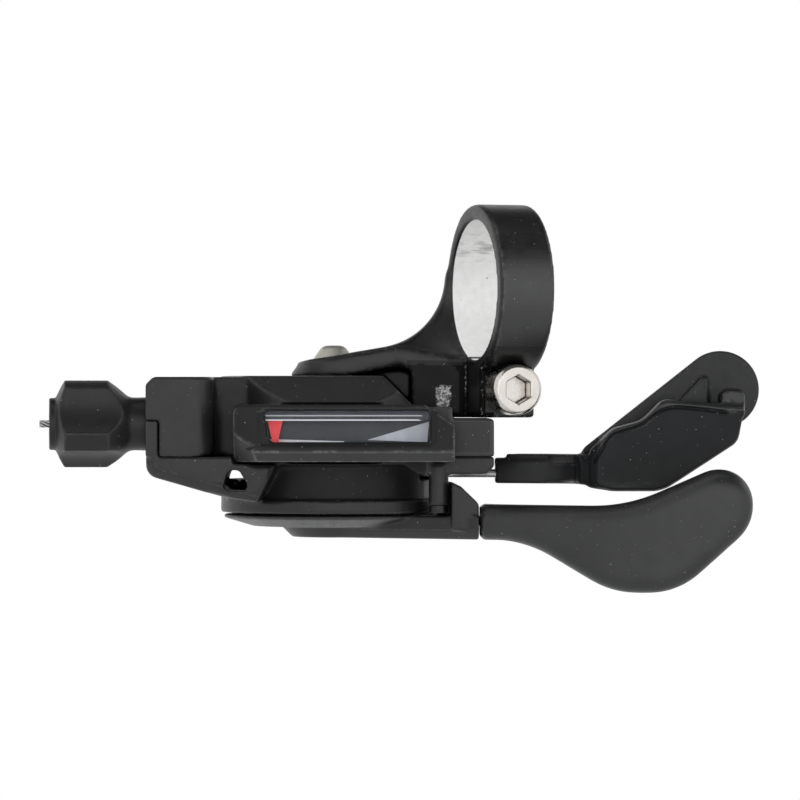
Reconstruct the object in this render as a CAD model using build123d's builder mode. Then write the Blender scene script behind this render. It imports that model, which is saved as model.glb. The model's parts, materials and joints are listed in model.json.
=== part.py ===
from build123d import *
import os
from math import asin, cos, degrees, radians, sin, sqrt, tan

# Right-hand trigger gear shifter with a sliding gear display, in millimetres.
# The origin is the middle of the handlebar clamp bore. +Z runs up along the main axle,
# +X toward the tips of the levers and -Y toward the rider.

# Handlebar clamp
bar_diameter = 22.2
band_wall = 2.4
band_width = 9.0
clamp_yaw = 18.5
ear_drop = 20.2
front_ear_reach = 4.0
rear_ear_reach = 10.7
slot_width = 1.0
slot_reach = 3.3
bolt_radius = 2.5
bolt_drop = 15.8
bolt_head_radius = 4.0
bolt_head_height = 5.0
bolt_hex = 4.0
bolt_hex_depth = 2.6
spotface_margin = 0.4

# Arm between the band and the axle
boss_radius = 6.5
boss_height = 2.2
arm_root_top = 3.3
arm_slope = 9.5
arm_straight = 14.5
pillar_reach = 5.4
pillar_clearance = 0.4
hollow_start = 1.6
hollow_rise = 1.5
hollow_round = 1.6
hollow_back = 3.0

# Main axle and its head
axle_x = -26.4
axle_y = 8.0
axle_radius = 3.0
axle_head_base = 3.6
axle_head_top = 1.75
axle_head_height = 2.7
nut_flats = 8.0
nut_height = 1.7
washer_radius = 4.3
washer_height = 0.4

# Fits
running_fit = 0.05
press_fit = 0.02
free_gap = 0.3
fillet_share = 0.98

# Upper cover, heights measured from the cable
cable_drop = 21.2
cable_radius = 0.6
cover_radius = 18.0
cover_above_cable = 7.6
cover_below_cable = 5.1
roof = 2.0
front_slope = 42.0
front_slope_start = 12.0
shoulder_start = 8.0
shoulder_slope = 45.0
right_top_above_cable = 0.9
right_end = 25.4
right_back = 5.0
block_left = 29.1
block_right = 18.6
block_proud = 0.5
block_back = 6.6
block_top_drop = 0.2
block_corner = 3.0
block_chamfer = 1.2
riser_width = 2.1
riser_above_cable = 0.6

# Gear display
display_back = 16.0
bezel_left = 15.3
bezel_right = 19.2
bezel_depth = 6.5
bezel_top_above_cable = 3.0
bezel_bottom_below_cable = 5.9
bezel_corner_run = 4.6
bezel_corner_drop = 3.2
bezel_bevel = 1.1
bezel_bevel_run = 1.6
bezel_wall = 0.8
window_left = 11.3
window_right = 15.4
window_above_cable = 2.15
window_below_cable = 2.8
window_slant = 0.9
window_corner = 0.8
window_bevel = 0.3
lens_margin = 0.1
lens_thickness = 1.2
lens_bevel = 0.9
lens_setback = 0.35
scale_thickness = 0.6
scale_setback = 2.0
flag_left = 8.8
flag_top_width = 2.4
flag_bottom_width = 1.1
flag_above_cable = 0.7
flag_height = 2.9
flag_thickness = 0.4
flag_setback = 3.3
rail_radius = 0.5
rail_above_floor = 0.8
carriage_width = 3.0

# Winding drum, ratchet and pawls
cable_pitch_radius = 9.2
drum_lip = 1.6
drum_above_cable = 2.4
groove_width = 1.8
groove_depth = 2.5
hub_radius = 4.8
hub_square = 6.8
drum_room_gap = 0.5
spring_room_radius = 8.4
head_radius = 1.5
head_length = 4.0
head_angle = -38.0
ratchet_radius = 10.0
ratchet_tooth = 1.1
ratchet_teeth = 18
ratchet_height = 1.6
ratchet_collar = 1.6
pawl_orbit = 12.8
pawl_hub = 1.8
pawl_nose = 0.6
pawl_pin_radius = 1.0
pawl_swing = 27.0
position_pawl_angle = 100.0
feed_pawl_angle = 172.0

# Base plate, bush and lower housing
base_thickness = 1.3
base_radius = 15.8
bush_wall = 1.8
housing_height = 9.0
housing_inner = 15.2
recess_radius = 16.5
recess_top = 1.4
lip_height = 2.1
recess_left = 8.6
recess_lean = 2.9
web_left_drop = 2.9
web_slope = 16.0
web_end_drop = 7.2
web_corner = 2.2
web_bevel = 1.5
porthole_left = 17.2
porthole_right = 12.6
porthole_left_lean = 1.0
porthole_right_lean = 1.9
porthole_corner = 0.9
porthole_top_drop = 2.1
porthole_height = 3.3
lug_left = 13.4
lug_lead = 2.0
lug_drop = 2.75
lug_wall = 1.8
lug_cut = 1.2
shelf_radius = 25.6
post_x = 16.7
post_radius = 1.55
post_drop = 7.7
screw_radius = 0.8
screw_head_radius = 1.5
screw_head_height = 1.1
screw_grip = 2.2
left_screw_x = 23.5
left_screw_y = 9.0
left_screw_grip = 1.6

# Release lever
release_drop = 2.1
release_thickness = 1.3
release_ring_wall = 2.4
release_angle = -15.0
release_plate_width = 4.2
release_plate_reach = 34.0
release_start = 26.1
arm_start = 25.7
release_arm_rise = 0.35
release_arm_drop = 4.3
release_rise_start = 29.2
release_front = 20.0
release_back = 11.0
front_pad_wall = 1.5
front_pad_skin = 1.3
back_pad_wall = 2.2
release_slot_left = 12.8
release_slot_front = 8.8
release_slot_back = 2.5
arm_root_back = 2.6
arm_root_front = 9.4
arm_lean = 3.0
arm_bend = 34.0
arm_end = 41.5
arm_chamfer = 1.2
release_reach = 64.5
pad_heel = 43.6
pad_flare = 4.0
pad_crest_above_cable = 4.0
pad_heel_drop = 4.6
pad_step_drop = 3.3
pad_tip_slant = 1.1
pad_tip_height = 5.7
pad_floor_drop = 1.1
skin_margin = 0.6
skin_start = 2.4
channel_drop = 1.5
channel_tip_drop = 4.1
bridge_width = 3.6
bridge_rise = 1.2
bridge_height = 4.0
gusset_run = 5.2
gusset_rise = 3.3
gusset_from_tip = 5.5
back_tip_radius = 6.1
back_tip_inset = 3.45
back_tip_rise = 1.4
back_root_radius = 2.4

# Main lever
lever_gap = 0.3
disc_radius = 17.6
disc_flat = 13.0
disc_edge = 0.5
disc_height = 1.9
rib_height = 3.7
rib_radius = 6.6
rib_bevel = 1.4
lever_plate_thickness = 1.5
lever_plate_width = 5.5
lever_plate_reach = 31.0
lever_angle = -29.0
seam_x = 23.0
seam_gap = 0.4
rib_half_width = 5.6
ramp_start = 18.7
ramp_above_lever = 5.3
ramp_front = 17.5
ramp_back = 8.5
ramp_crown_run = 1.6
ramp_crown_drop = 0.8
ramp_foot = 1.9
ramp_toe = 16.5
ramp_toe_lean = 1.2
ramp_toe_front = 13.2
paddle_above_lever = 1.8
paddle_round = 1.3
paddle_reach = 65.2
paddle_throat = 19.5
paddle_tip_rise = 10.5
paddle_tip_fall = 1.2
paddle_drop = 8.05
paddle_belly = 21.7
paddle_belly_flat = 10.0
paddle_neck = 6.7
paddle_mid = 44.0
paddle_mid_front = 26.4
paddle_mid_back = 21.0
paddle_tip_front = 29.0
paddle_tip_back = 24.2

# Barrel adjuster
adjuster_yaw = 5.0
neck_radius = 4.2
neck_length = 2.9
neck_seat = 0.6
knob_radius = 7.05
knob_length = 11.6
knob_inner_cone = 3.4
knob_outer_cone = 1.4
knob_flute_depth = 1.9
knob_flutes = 4
knob_flute_half_angle = 32.5
knob_phase = 20.5
collar_radius = 4.1
collar_length = 1.0
socket_radius = 2.6
socket_depth = 6.0
adjuster_screw_radius = 2.5
adjuster_screw_reach = 8.0
cable_stub = 1.6

# Springs
spring_wire = 1.0
fine_wire = 0.5

# Cable entry plug
plug_angle = 115.0
plug_radius = 2.4
plug_head_radius = 3.2
plug_depth = 4.5
plug_head_height = 1.4

# Derived levels
cable_z = -cable_drop
cover_top = cable_z + cover_above_cable
parting_z = cable_z - cover_below_cable
right_top = cable_z + right_top_above_cable
housing_bottom = parting_z - housing_height
bar_radius = bar_diameter / 2
band_radius = bar_radius + band_wall
arm_top = cover_top + boss_height
base_bottom = parting_z - base_thickness
release_top = parting_z - release_drop
release_bottom = release_top - release_thickness
ratchet_top = release_bottom - lever_gap - 2 * press_fit
ratchet_bottom = ratchet_top - ratchet_height
lever_top = housing_bottom - lever_gap
lever_plate_bottom = lever_top - lever_plate_thickness
rib_bottom = lever_top - rib_height
drum_top = cable_z + drum_above_cable
drum_bottom = cable_z - drum_above_cable
drum_room_top = drum_top + free_gap
spring_room_top = cover_top - roof
bezel_top = cable_z + bezel_top_above_cable
bezel_bottom = cable_z - bezel_bottom_below_cable
bezel_front = display_back + bezel_depth
block_front = cover_radius + block_proud
shaft_hole = axle_radius + running_fit
drum_radius = cable_pitch_radius + drum_lip
bush_inner = hub_radius + running_fit
bush_outer = bush_inner + bush_wall
release_hole = bush_outer + running_fit


def level(z):
    """Horizontal plane at height z, with the axle as its origin."""
    return Plane((axle_x, axle_y, z))


def facing(depth):
    """Upright plane toward the rider, depth in front of the axle: x from the axle, y the height."""
    return Plane((axle_x, axle_y - depth, 0), x_dir=(1, 0, 0), z_dir=(0, -1, 0))


def section():
    """Upright half plane through the axle for turned parts: x is the radius, y the height."""
    return Plane((axle_x, axle_y, 0), x_dir=(1, 0, 0), z_dir=(0, -1, 0))


def polar(radius, angle):
    """Point at a radius and an angle about the axle."""
    return (radius * cos(radians(angle)), radius * sin(radians(angle)))


def fitted(points, radii):
    """Corner radii of a closed outline, eased where two roundings would need more than their side."""
    corners = [Vector(*point) for point in points]
    count = len(corners)
    sides = [corners[(i + 1) % count] - corners[i] for i in range(count)]
    turns = [sides[i - 1].get_angle(sides[i]) for i in range(count)]
    needs = [radii[i] * tan(radians(turns[i] / 2)) for i in range(count)]
    shares = []
    for i, side in enumerate(sides):
        shares.append(side.length / max(needs[i] + needs[(i + 1) % count], side.length))
    return [radii[i] * min(shares[i - 1], shares[i], 1) * fillet_share for i in range(count)]


axle_axis = Axis((axle_x, axle_y, 0), (0, 0, 1))
yaw = radians(clamp_yaw)
clamp_plane = Plane((0, 0, 0), x_dir=(sin(yaw), -cos(yaw), 0), z_dir=(-cos(yaw), -sin(yaw), 0))
bolt_seat = clamp_plane.from_local_coords(Vector(front_ear_reach, -bolt_drop, 0))
bolt_plane = Plane(bolt_seat, x_dir=(0, 0, 1), z_dir=clamp_plane.x_dir)

turn = radians(adjuster_yaw)
cable_touch = (cable_pitch_radius * sin(turn), -cable_pitch_radius * cos(turn))
cable_run = (block_left + cable_touch[0]) / cos(turn)
cable_way = Vector(-cos(turn), -sin(turn), 0)
cable_start = Vector(axle_x + cable_touch[0], axle_y + cable_touch[1], cable_z)
cable_plane = Plane(cable_start, x_dir=(0, 0, 1), z_dir=cable_way)
adjuster_plane = cable_plane.offset(cable_run)

# Clamp band, ears and arm, one casting
arm_left = axle_x - boss_radius
root_front = clamp_plane.from_local_coords(Vector(-slot_reach - slot_width, 0, band_width / 2))
root_rear = clamp_plane.from_local_coords(Vector(-band_radius, 0, band_width / 2))
root_inside = clamp_plane.from_local_coords(Vector(-band_radius, 0, 0))
arm_rise = arm_straight * tan(radians(arm_slope))
pillar_left = root_rear.X - pillar_reach
shoulder_fall = (pillar_left - axle_x - shoulder_start) * tan(radians(shoulder_slope))

with BuildPart() as arm:
    with BuildSketch(Plane.XZ.offset(-axle_y - boss_radius)):
        with BuildLine():
            foot = Line((arm_left, cover_top), (arm_left, arm_top))
            slope = Line(foot @ 1, (arm_left + arm_straight, arm_top + arm_rise))
            sweep_up = TangentArc(slope @ 1, (root_rear.X, arm_root_top), tangent=slope % 1)
            inner = Line(sweep_up @ 1, (root_inside.X, arm_root_top))
            drop = Line(inner @ 1, (root_inside.X, -ear_drop))
            toe = Line(drop @ 1, (pillar_left, -ear_drop))
            heel = Line(toe @ 1, (pillar_left, cover_top - shoulder_fall))
            belly = Line(heel @ 1, (axle_x + shoulder_start, cover_top))
            Line(belly @ 1, foot @ 0)
        make_face()
    extrude(amount=axle_y + boss_radius + band_radius)
    with BuildSketch(Plane.XY.offset(-ear_drop)):
        with BuildLine():
            CenterArc((axle_x, axle_y), boss_radius, 0, 360)
            Line((root_front.X, root_front.Y), (root_rear.X, root_rear.Y))
            Line((root_rear.X, root_rear.Y), (root_inside.X, root_inside.Y))
        make_hull()
    extrude(amount=ear_drop + arm_root_top, mode=Mode.INTERSECT)
    # hollow under the arm, open toward the rider
    with BuildSketch(Plane.XZ.offset(-axle_y - hollow_back)):
        Polygon(
            (axle_x + hollow_start, cover_top),
            (pillar_left - hollow_round, cover_top + hollow_rise),
            (pillar_left, cover_top + hollow_rise - hollow_round / 2),
            (pillar_left, cover_top - shoulder_fall),
            (axle_x + shoulder_start, cover_top),
            align=None,
        )
    extrude(amount=axle_y + hollow_back + band_radius, mode=Mode.SUBTRACT)
    with BuildSketch(clamp_plane):
        Circle(bar_radius + free_gap)
    extrude(amount=2 * block_left, mode=Mode.SUBTRACT)

with BuildPart() as clamp_bracket:
    with BuildSketch(clamp_plane.offset(-band_width / 2)):
        Circle(band_radius)
        with Locations(((front_ear_reach - rear_ear_reach) / 2, -ear_drop / 2)):
            Rectangle(front_ear_reach + rear_ear_reach, ear_drop)
    extrude(amount=band_width)
    band_rims = clamp_bracket.edges().filter_by(GeomType.CIRCLE)
    chamfer(band_rims, length=band_wall / 6)
    add(arm.part)
    with BuildSketch(clamp_plane.offset(-band_width)):
        Circle(bar_radius)
        with Locations((-slot_reach, -ear_drop / 2)):
            Rectangle(slot_width, ear_drop)
    extrude(amount=1.5 * band_width, mode=Mode.SUBTRACT)
    with BuildSketch(bolt_plane):
        Circle(bolt_head_radius + spotface_margin)
    extrude(amount=band_radius, mode=Mode.SUBTRACT)
    with BuildSketch(bolt_plane):
        Circle(bolt_radius + running_fit)
    extrude(amount=-front_ear_reach - rear_ear_reach, mode=Mode.SUBTRACT)
    with BuildSketch(level(cover_top)):
        Circle(shaft_hole)
    extrude(amount=boss_height + axle_head_height + arm_rise, mode=Mode.SUBTRACT)
    with BuildSketch(level(arm_top)):
        Circle(axle_head_base + free_gap)
    extrude(amount=boss_height + arm_rise, mode=Mode.SUBTRACT)

with BuildPart() as clamp_bolt:
    with BuildSketch(bolt_plane):
        Circle(bolt_head_radius)
    extrude(amount=bolt_head_height)
    bolt_axis = Axis(bolt_plane.origin, bolt_plane.z_dir)
    head_rim = clamp_bolt.edges().filter_by(GeomType.CIRCLE).sort_by(bolt_axis)[-1]
    chamfer(head_rim, length=bolt_head_height / 10)
    with BuildSketch(bolt_plane.offset(bolt_head_height)):
        RegularPolygon(bolt_hex / 2, 6, major_radius=False)
    extrude(amount=-bolt_hex_depth, mode=Mode.SUBTRACT)
    with BuildSketch(bolt_plane):
        Circle(bolt_radius)
    extrude(amount=-front_ear_reach - rear_ear_reach)

# Main axle with its tapered head, washer and nut
axle_end = lever_plate_bottom - washer_height - nut_height
with BuildPart() as main_axle:
    with BuildSketch(section()):
        with BuildLine():
            Polyline(
                (0, axle_end),
                (axle_radius, axle_end),
                (axle_radius, arm_top),
                (axle_head_base, arm_top),
                (axle_head_top, arm_top + axle_head_height),
                (0, arm_top + axle_head_height),
                close=True,
            )
        make_face()
    revolve(axis=axle_axis)
    head_edges = main_axle.edges().filter_by(GeomType.CIRCLE).group_by(Axis.Z)[-1]
    chamfer(head_edges, length=axle_head_top / 4)

with BuildPart() as axle_washer:
    with BuildSketch(level(lever_plate_bottom)):
        Circle(washer_radius)
        Circle(shaft_hole, mode=Mode.SUBTRACT)
    extrude(amount=-washer_height)

with BuildPart() as axle_nut:
    with BuildSketch(level(lever_plate_bottom - washer_height)):
        RegularPolygon(nut_flats / 2, 6, major_radius=False)
        Circle(axle_radius + press_fit, mode=Mode.SUBTRACT)
    extrude(amount=-nut_height)

# Upper cover
shoulder_way = radians(shoulder_slope)
slope_way = radians(front_slope)
block_top = cover_top - block_top_drop
box_top = bezel_top - free_gap
riser_top = cable_z + riser_above_cable
display_seat = [
    (-bezel_left - free_gap, bezel_bottom - free_gap),
    (bezel_right + free_gap, bezel_bottom - free_gap),
    (bezel_right + free_gap, bezel_top + free_gap),
    (-bezel_left - free_gap, bezel_top + free_gap),
]

with BuildPart() as upper_cover:
    with BuildSketch(level(parting_z)):
        Circle(cover_radius)
    extrude(amount=cover_top - parting_z)
    slope_line = (axle_x, axle_y - front_slope_start, cover_top)
    split(
        bisect_by=Plane(slope_line, x_dir=(1, 0, 0), z_dir=(0, -sin(slope_way), cos(slope_way))),
        keep=Keep.BOTTOM,
    )
    shoulder_line = (axle_x + shoulder_start, axle_y, cover_top)
    split(
        bisect_by=Plane(shoulder_line, x_dir=(0, 1, 0), z_dir=(sin(shoulder_way), 0, cos(shoulder_way))),
        keep=Keep.BOTTOM,
    )
    with BuildSketch(level(parting_z)):
        with Locations((-block_right, -block_front)):
            Rectangle(
                block_left - block_right, block_front - block_back, align=(Align.MAX, Align.MIN)
            )
    extrude(amount=block_top - parting_z)
    block_edges = upper_cover.edges().filter_by(Axis.Z).group_by(Axis.Y)[0]
    fillet(block_edges.sort_by(Axis.X)[-1], radius=block_corner)
    left_edge = upper_cover.edges().filter_by(Axis.Y).group_by(Axis.X)[0].sort_by(Axis.Z)[-1]
    chamfer(left_edge, length=block_chamfer)
    with BuildSketch(level(parting_z)):
        with Locations((-block_right - block_corner, -front_slope_start)):
            Rectangle(block_right, front_slope_start, align=(Align.MIN, Align.MIN))
    extrude(amount=block_top - parting_z)
    with BuildSketch(level(parting_z)):
        with Locations((free_gap - bezel_left, -display_back)):
            Rectangle(
                bezel_left + bezel_right - 2 * free_gap, display_back / 2, align=(Align.MIN, Align.MIN)
            )
    extrude(amount=box_top - parting_z)
    with BuildSketch(level(parting_z)):
        with Locations((0, -display_back)):
            Rectangle(right_end, display_back + right_back, align=(Align.MIN, Align.MIN))
    extrude(amount=right_top - parting_z)
    right_rim = upper_cover.faces().sort_by(Axis.X)[-1].edges().sort_by(Axis.Z)[-1]
    chamfer(right_rim, length=block_chamfer / 3)
    # flat seat of the display
    with BuildSketch(facing(display_back)):
        with BuildLine():
            Polyline(*display_seat, close=True)
        make_face()
    extrude(amount=bezel_depth, mode=Mode.SUBTRACT)
    # room for the foot of the bracket
    with BuildSketch(Plane.XY.offset(right_top)):
        with Locations((pillar_left - pillar_clearance, axle_y - boss_radius)):
            Rectangle(block_left, block_left, align=(Align.MIN, Align.MIN))
    extrude(amount=cover_above_cable, mode=Mode.SUBTRACT)
    # drum room, spring room and shaft hole
    with BuildSketch(level(parting_z)):
        Circle(drum_radius + drum_room_gap)
    extrude(amount=drum_room_top - parting_z, mode=Mode.SUBTRACT)
    with BuildSketch(level(drum_room_top)):
        Circle(spring_room_radius)
    extrude(amount=spring_room_top - drum_room_top, mode=Mode.SUBTRACT)
    with BuildSketch(level(spring_room_top)):
        Circle(shaft_hole)
    extrude(amount=roof, mode=Mode.SUBTRACT)
    # cable way and adjuster bore
    with BuildSketch(cable_plane):
        Circle(cable_radius + free_gap)
    extrude(amount=cable_run, mode=Mode.SUBTRACT)
    with BuildSketch(adjuster_plane):
        Circle(adjuster_screw_radius + running_fit)
    extrude(amount=-adjuster_screw_reach - free_gap, mode=Mode.SUBTRACT)
    with BuildSketch(adjuster_plane.offset(-neck_seat)):
        Circle(neck_radius + free_gap)
    extrude(amount=neck_length, mode=Mode.SUBTRACT)
    # seat of the lower housing's riser
    with BuildSketch(level(parting_z)):
        with Locations((-block_left, -block_front)):
            Rectangle(riser_width, block_front - block_back, align=(Align.MIN, Align.MIN))
    extrude(amount=riser_top - parting_z, mode=Mode.SUBTRACT)
    # screw pilots and cable entry
    with BuildSketch(level(parting_z)):
        with Locations((post_x, lug_wall / 2 - display_back), (-left_screw_x, -left_screw_y)):
            Circle(screw_radius + press_fit)
    extrude(amount=screw_grip, mode=Mode.SUBTRACT)
    plug_point = polar(cover_radius, plug_angle)
    plug_way = polar(1, plug_angle)
    plug_plane = Plane(
        (axle_x + plug_point[0], axle_y + plug_point[1], cable_z),
        x_dir=(0, 0, 1),
        z_dir=(plug_way[0], plug_way[1], 0),
    )
    with BuildSketch(plug_plane.offset(-plug_head_height)):
        Circle(plug_head_radius + press_fit)
    extrude(amount=2 * plug_head_height, mode=Mode.SUBTRACT)
    with BuildSketch(plug_plane):
        Circle(plug_radius + press_fit)
    extrude(amount=-cover_radius + drum_radius, mode=Mode.SUBTRACT)

with BuildPart() as inner_hole_cap:
    with BuildSketch(plug_plane.offset(-plug_head_height)):
        Circle(plug_head_radius)
    extrude(amount=plug_head_height)
    with BuildSketch(plug_plane):
        Rectangle(2 * plug_radius, plug_head_height / 2)
        Rectangle(plug_head_height / 2, 2 * plug_radius)
    extrude(amount=-plug_head_height / 2, mode=Mode.SUBTRACT)
    with BuildSketch(plug_plane.offset(-plug_head_height)):
        Circle(plug_radius)
    extrude(amount=-plug_depth + plug_head_height)

# Gear display
cavity_left = window_left + bezel_wall
cavity_right = window_right + bezel_wall
cavity_top = cable_z + window_above_cable + bezel_wall / 4
cavity_floor = bezel_bottom + bezel_wall
window_top = cable_z + window_above_cable
window_bottom = cable_z - window_below_cable
window_outline = [
    (-window_left, window_bottom),
    (window_right, window_bottom),
    (window_right, window_top),
    (window_slant - window_left, window_top),
]

with BuildPart() as display_bezel:
    with BuildSketch(facing(display_back)):
        with BuildLine():
            Polyline(
                (-bezel_left, bezel_bottom),
                (bezel_right, bezel_bottom),
                (bezel_right, bezel_top - bezel_corner_drop),
                (bezel_right - bezel_corner_run, bezel_top),
                (-bezel_left, bezel_top),
                close=True,
            )
        make_face()
    extrude(amount=bezel_depth)
    front_low = display_bezel.edges().filter_by(Axis.X).group_by(Axis.Y)[0].sort_by(Axis.Z)[0]
    chamfer(front_low, length=bezel_bevel, length2=bezel_bevel_run)
    facet_point = (axle_x - bezel_left + bezel_bevel_run, axle_y - bezel_front, cable_z - window_below_cable)
    split(
        bisect_by=Plane(facet_point, x_dir=(0, 1, 0), z_dir=(-1, -1, -1)),
        keep=Keep.BOTTOM,
    )
    outer_edges = display_bezel.edges().group_by(Axis.Y)[0].filter_by(Axis.X)
    fillet(outer_edges.sort_by(Axis.Z)[-1], radius=bezel_wall / 2)
    with BuildSketch(facing(display_back)):
        with Locations(((cavity_right - cavity_left) / 2, (cavity_top + cavity_floor) / 2)):
            Rectangle(cavity_left + cavity_right, cavity_top - cavity_floor)
    extrude(amount=bezel_depth - lens_setback - lens_thickness, mode=Mode.SUBTRACT)
    with BuildSketch(facing(bezel_front)):
        with BuildLine():
            FilletPolyline(*window_outline, radius=window_corner, close=True)
        make_face()
    extrude(amount=-bezel_depth / 2, mode=Mode.SUBTRACT)
    window_rim = display_bezel.faces().sort_by(Axis.Y)[0].inner_wires()[0].edges()
    chamfer(window_rim, length=window_bevel)

with BuildPart() as display_lens:
    with BuildSketch(facing(bezel_front - lens_setback)):
        with BuildLine():
            FilletPolyline(*window_outline, radius=window_corner, close=True)
        make_face()
        offset(amount=-lens_margin, mode=Mode.REPLACE)
    extrude(amount=-lens_thickness)
    bevel_line = (axle_x, axle_y - bezel_front + lens_setback, window_top - lens_bevel)
    split(bisect_by=Plane(bevel_line, x_dir=(1, 0, 0), z_dir=(0, -1, 1)), keep=Keep.BOTTOM)

with BuildPart() as scale_plate:
    with BuildSketch(facing(display_back + scale_setback)):
        with BuildLine():
            Polyline(
                (press_fit - cavity_left, window_bottom - free_gap),
                (cavity_right - press_fit, window_bottom - free_gap),
                (cavity_right - press_fit, cavity_top - press_fit),
                (press_fit - cavity_left, cavity_top - press_fit),
                close=True,
            )
        make_face()
    extrude(amount=scale_thickness)

rail_z = cavity_floor + rail_above_floor
rail_depth = display_back + flag_setback + flag_thickness
with BuildPart() as indicator_rail:
    with BuildSketch(Plane((axle_x - cavity_left, axle_y - rail_depth, rail_z), z_dir=(1, 0, 0))):
        Circle(rail_radius)
    extrude(amount=cavity_left + cavity_right)

flag_base = cable_z + flag_above_cable - flag_height
with BuildPart() as indicator_carriage:
    with BuildSketch(facing(rail_depth - carriage_width / 4)):
        with Locations((-flag_left, rail_z)):
            Rectangle(carriage_width, 2 * (rail_above_floor - 2 * running_fit))
    extrude(amount=carriage_width / 2)
    with BuildSketch(facing(rail_depth - flag_thickness)):
        with Locations((-flag_left, flag_base)):
            Rectangle(flag_bottom_width, flag_base - rail_z, align=(Align.CENTER, Align.MAX))
    extrude(amount=2 * flag_thickness)
    with BuildSketch(Plane((axle_x - cavity_left, axle_y - rail_depth, rail_z), z_dir=(1, 0, 0))):
        Circle(rail_radius + running_fit)
    extrude(amount=cavity_left + cavity_right, mode=Mode.SUBTRACT)

with BuildPart() as indicator_flag:
    with BuildSketch(facing(rail_depth - flag_thickness / 2)):
        with BuildLine():
            Polyline(
                (-flag_left - flag_bottom_width / 2, flag_base),
                (-flag_left + flag_bottom_width / 2, flag_base),
                (-flag_left + flag_top_width / 2, flag_base + flag_height),
                (-flag_left - flag_top_width / 2, flag_base + flag_height),
                close=True,
            )
        make_face()
    extrude(amount=flag_thickness)

# Winding drum with the cable's end, and the drum's return spring
head_point = polar(cable_pitch_radius, head_angle)
head_way = polar(1, head_angle + 90)
head_plane = Plane(
    (axle_x + head_point[0], axle_y + head_point[1], cable_z),
    x_dir=(0, 0, 1),
    z_dir=(head_way[0], head_way[1], 0),
)
square_top = ratchet_top
square_bottom = ratchet_bottom - ratchet_collar

with BuildPart() as winding_drum:
    with BuildSketch(level(drum_bottom)):
        Circle(drum_radius)
    extrude(amount=drum_top - drum_bottom)
    with BuildSketch(section()):
        with Locations((drum_radius - groove_depth, cable_z)):
            Rectangle(2 * groove_depth, groove_width, align=(Align.MIN, Align.CENTER))
    revolve(axis=axle_axis, mode=Mode.SUBTRACT)
    with BuildSketch(level(drum_bottom)):
        Circle(hub_radius)
    extrude(amount=square_top - drum_bottom)
    with BuildSketch(level(square_top)):
        Rectangle(hub_square, hub_square)
    extrude(amount=square_bottom - square_top)
    with BuildSketch(level(square_bottom)):
        Circle(shaft_hole)
    extrude(amount=drum_top - square_bottom, mode=Mode.SUBTRACT)
    with BuildSketch(head_plane):
        Circle(head_radius + running_fit)
    extrude(amount=head_length / 2 + free_gap, both=True, mode=Mode.SUBTRACT)

wrap_end = head_angle - degrees(head_length / 2 / cable_pitch_radius)
wrap_start = degrees(asin(cable_touch[1] / cable_pitch_radius)) + degrees(free_gap / cable_pitch_radius)
with BuildPart() as cable_head:
    with BuildSketch(head_plane):
        Circle(head_radius)
    extrude(amount=head_length / 2, both=True)
    with BuildLine(level(cable_z)) as wrap_line:
        CenterArc((0, 0), cable_pitch_radius, wrap_start, wrap_end - wrap_start)
    with BuildSketch(Plane(wrap_line.line @ 0, x_dir=(0, 0, 1), z_dir=wrap_line.line % 0)):
        Rectangle(2 * cable_radius, 2 * cable_radius)
    sweep(path=wrap_line.line)


def coil(point, z, inner_radius, wire, turns):
    """Close-wound coil of square wire about an upright axis, from height z upward."""
    with BuildPart() as wound:
        with BuildSketch(Plane((axle_x + point[0], axle_y + point[1], z))):
            Circle(inner_radius + wire)
            Circle(inner_radius, mode=Mode.SUBTRACT)
        extrude(amount=turns * wire)
    return wound.part


with BuildPart() as drum_spring:
    add(coil((0, 0), drum_top + free_gap, spring_room_radius - spring_wire - free_gap, spring_wire, 2))

with BuildPart() as ratchet_wheel:
    with BuildSketch(level(ratchet_bottom)):
        with BuildLine():
            tooth_turn = 360 / ratchet_teeth
            rim = []
            for i in range(ratchet_teeth):
                rim.append(polar(ratchet_radius, i * tooth_turn))
                rim.append(polar(ratchet_radius - ratchet_tooth, (i + 0.2) * tooth_turn))
            Polyline(*rim, close=True)
        make_face()
    extrude(amount=ratchet_height)
    with BuildSketch(level(square_bottom)):
        Circle(bush_outer)
    extrude(amount=ratchet_collar)
    with BuildSketch(level(square_bottom)):
        Rectangle(hub_square + 2 * press_fit, hub_square + 2 * press_fit)
    extrude(amount=ratchet_height + ratchet_collar, mode=Mode.SUBTRACT)

# Straight run of the inner cable, from the drum to the stub past the adjuster
adjuster_length = neck_length + knob_length + collar_length
with BuildPart() as inner_cable:
    with BuildSketch(cable_plane):
        Circle(cable_radius)
    extrude(amount=cable_run + adjuster_length + cable_stub)

# Base plate and bush
with BuildPart() as base_plate:
    with BuildSketch(level(parting_z)):
        Circle(base_radius)
        Circle(bush_outer + press_fit, mode=Mode.SUBTRACT)
        with Locations(polar(pawl_orbit, position_pawl_angle)):
            Circle(pawl_pin_radius + press_fit, mode=Mode.SUBTRACT)
    extrude(amount=-base_thickness)

with BuildPart() as pivot_bush:
    with BuildSketch(level(parting_z)):
        Circle(bush_outer)
        Circle(bush_inner, mode=Mode.SUBTRACT)
    extrude(amount=release_bottom - parting_z)

position_point = polar(pawl_orbit, position_pawl_angle)
feed_point = polar(pawl_orbit, feed_pawl_angle)
pawl_bottom = ratchet_bottom + running_fit
pawl_height = ratchet_height - 2 * running_fit


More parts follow.
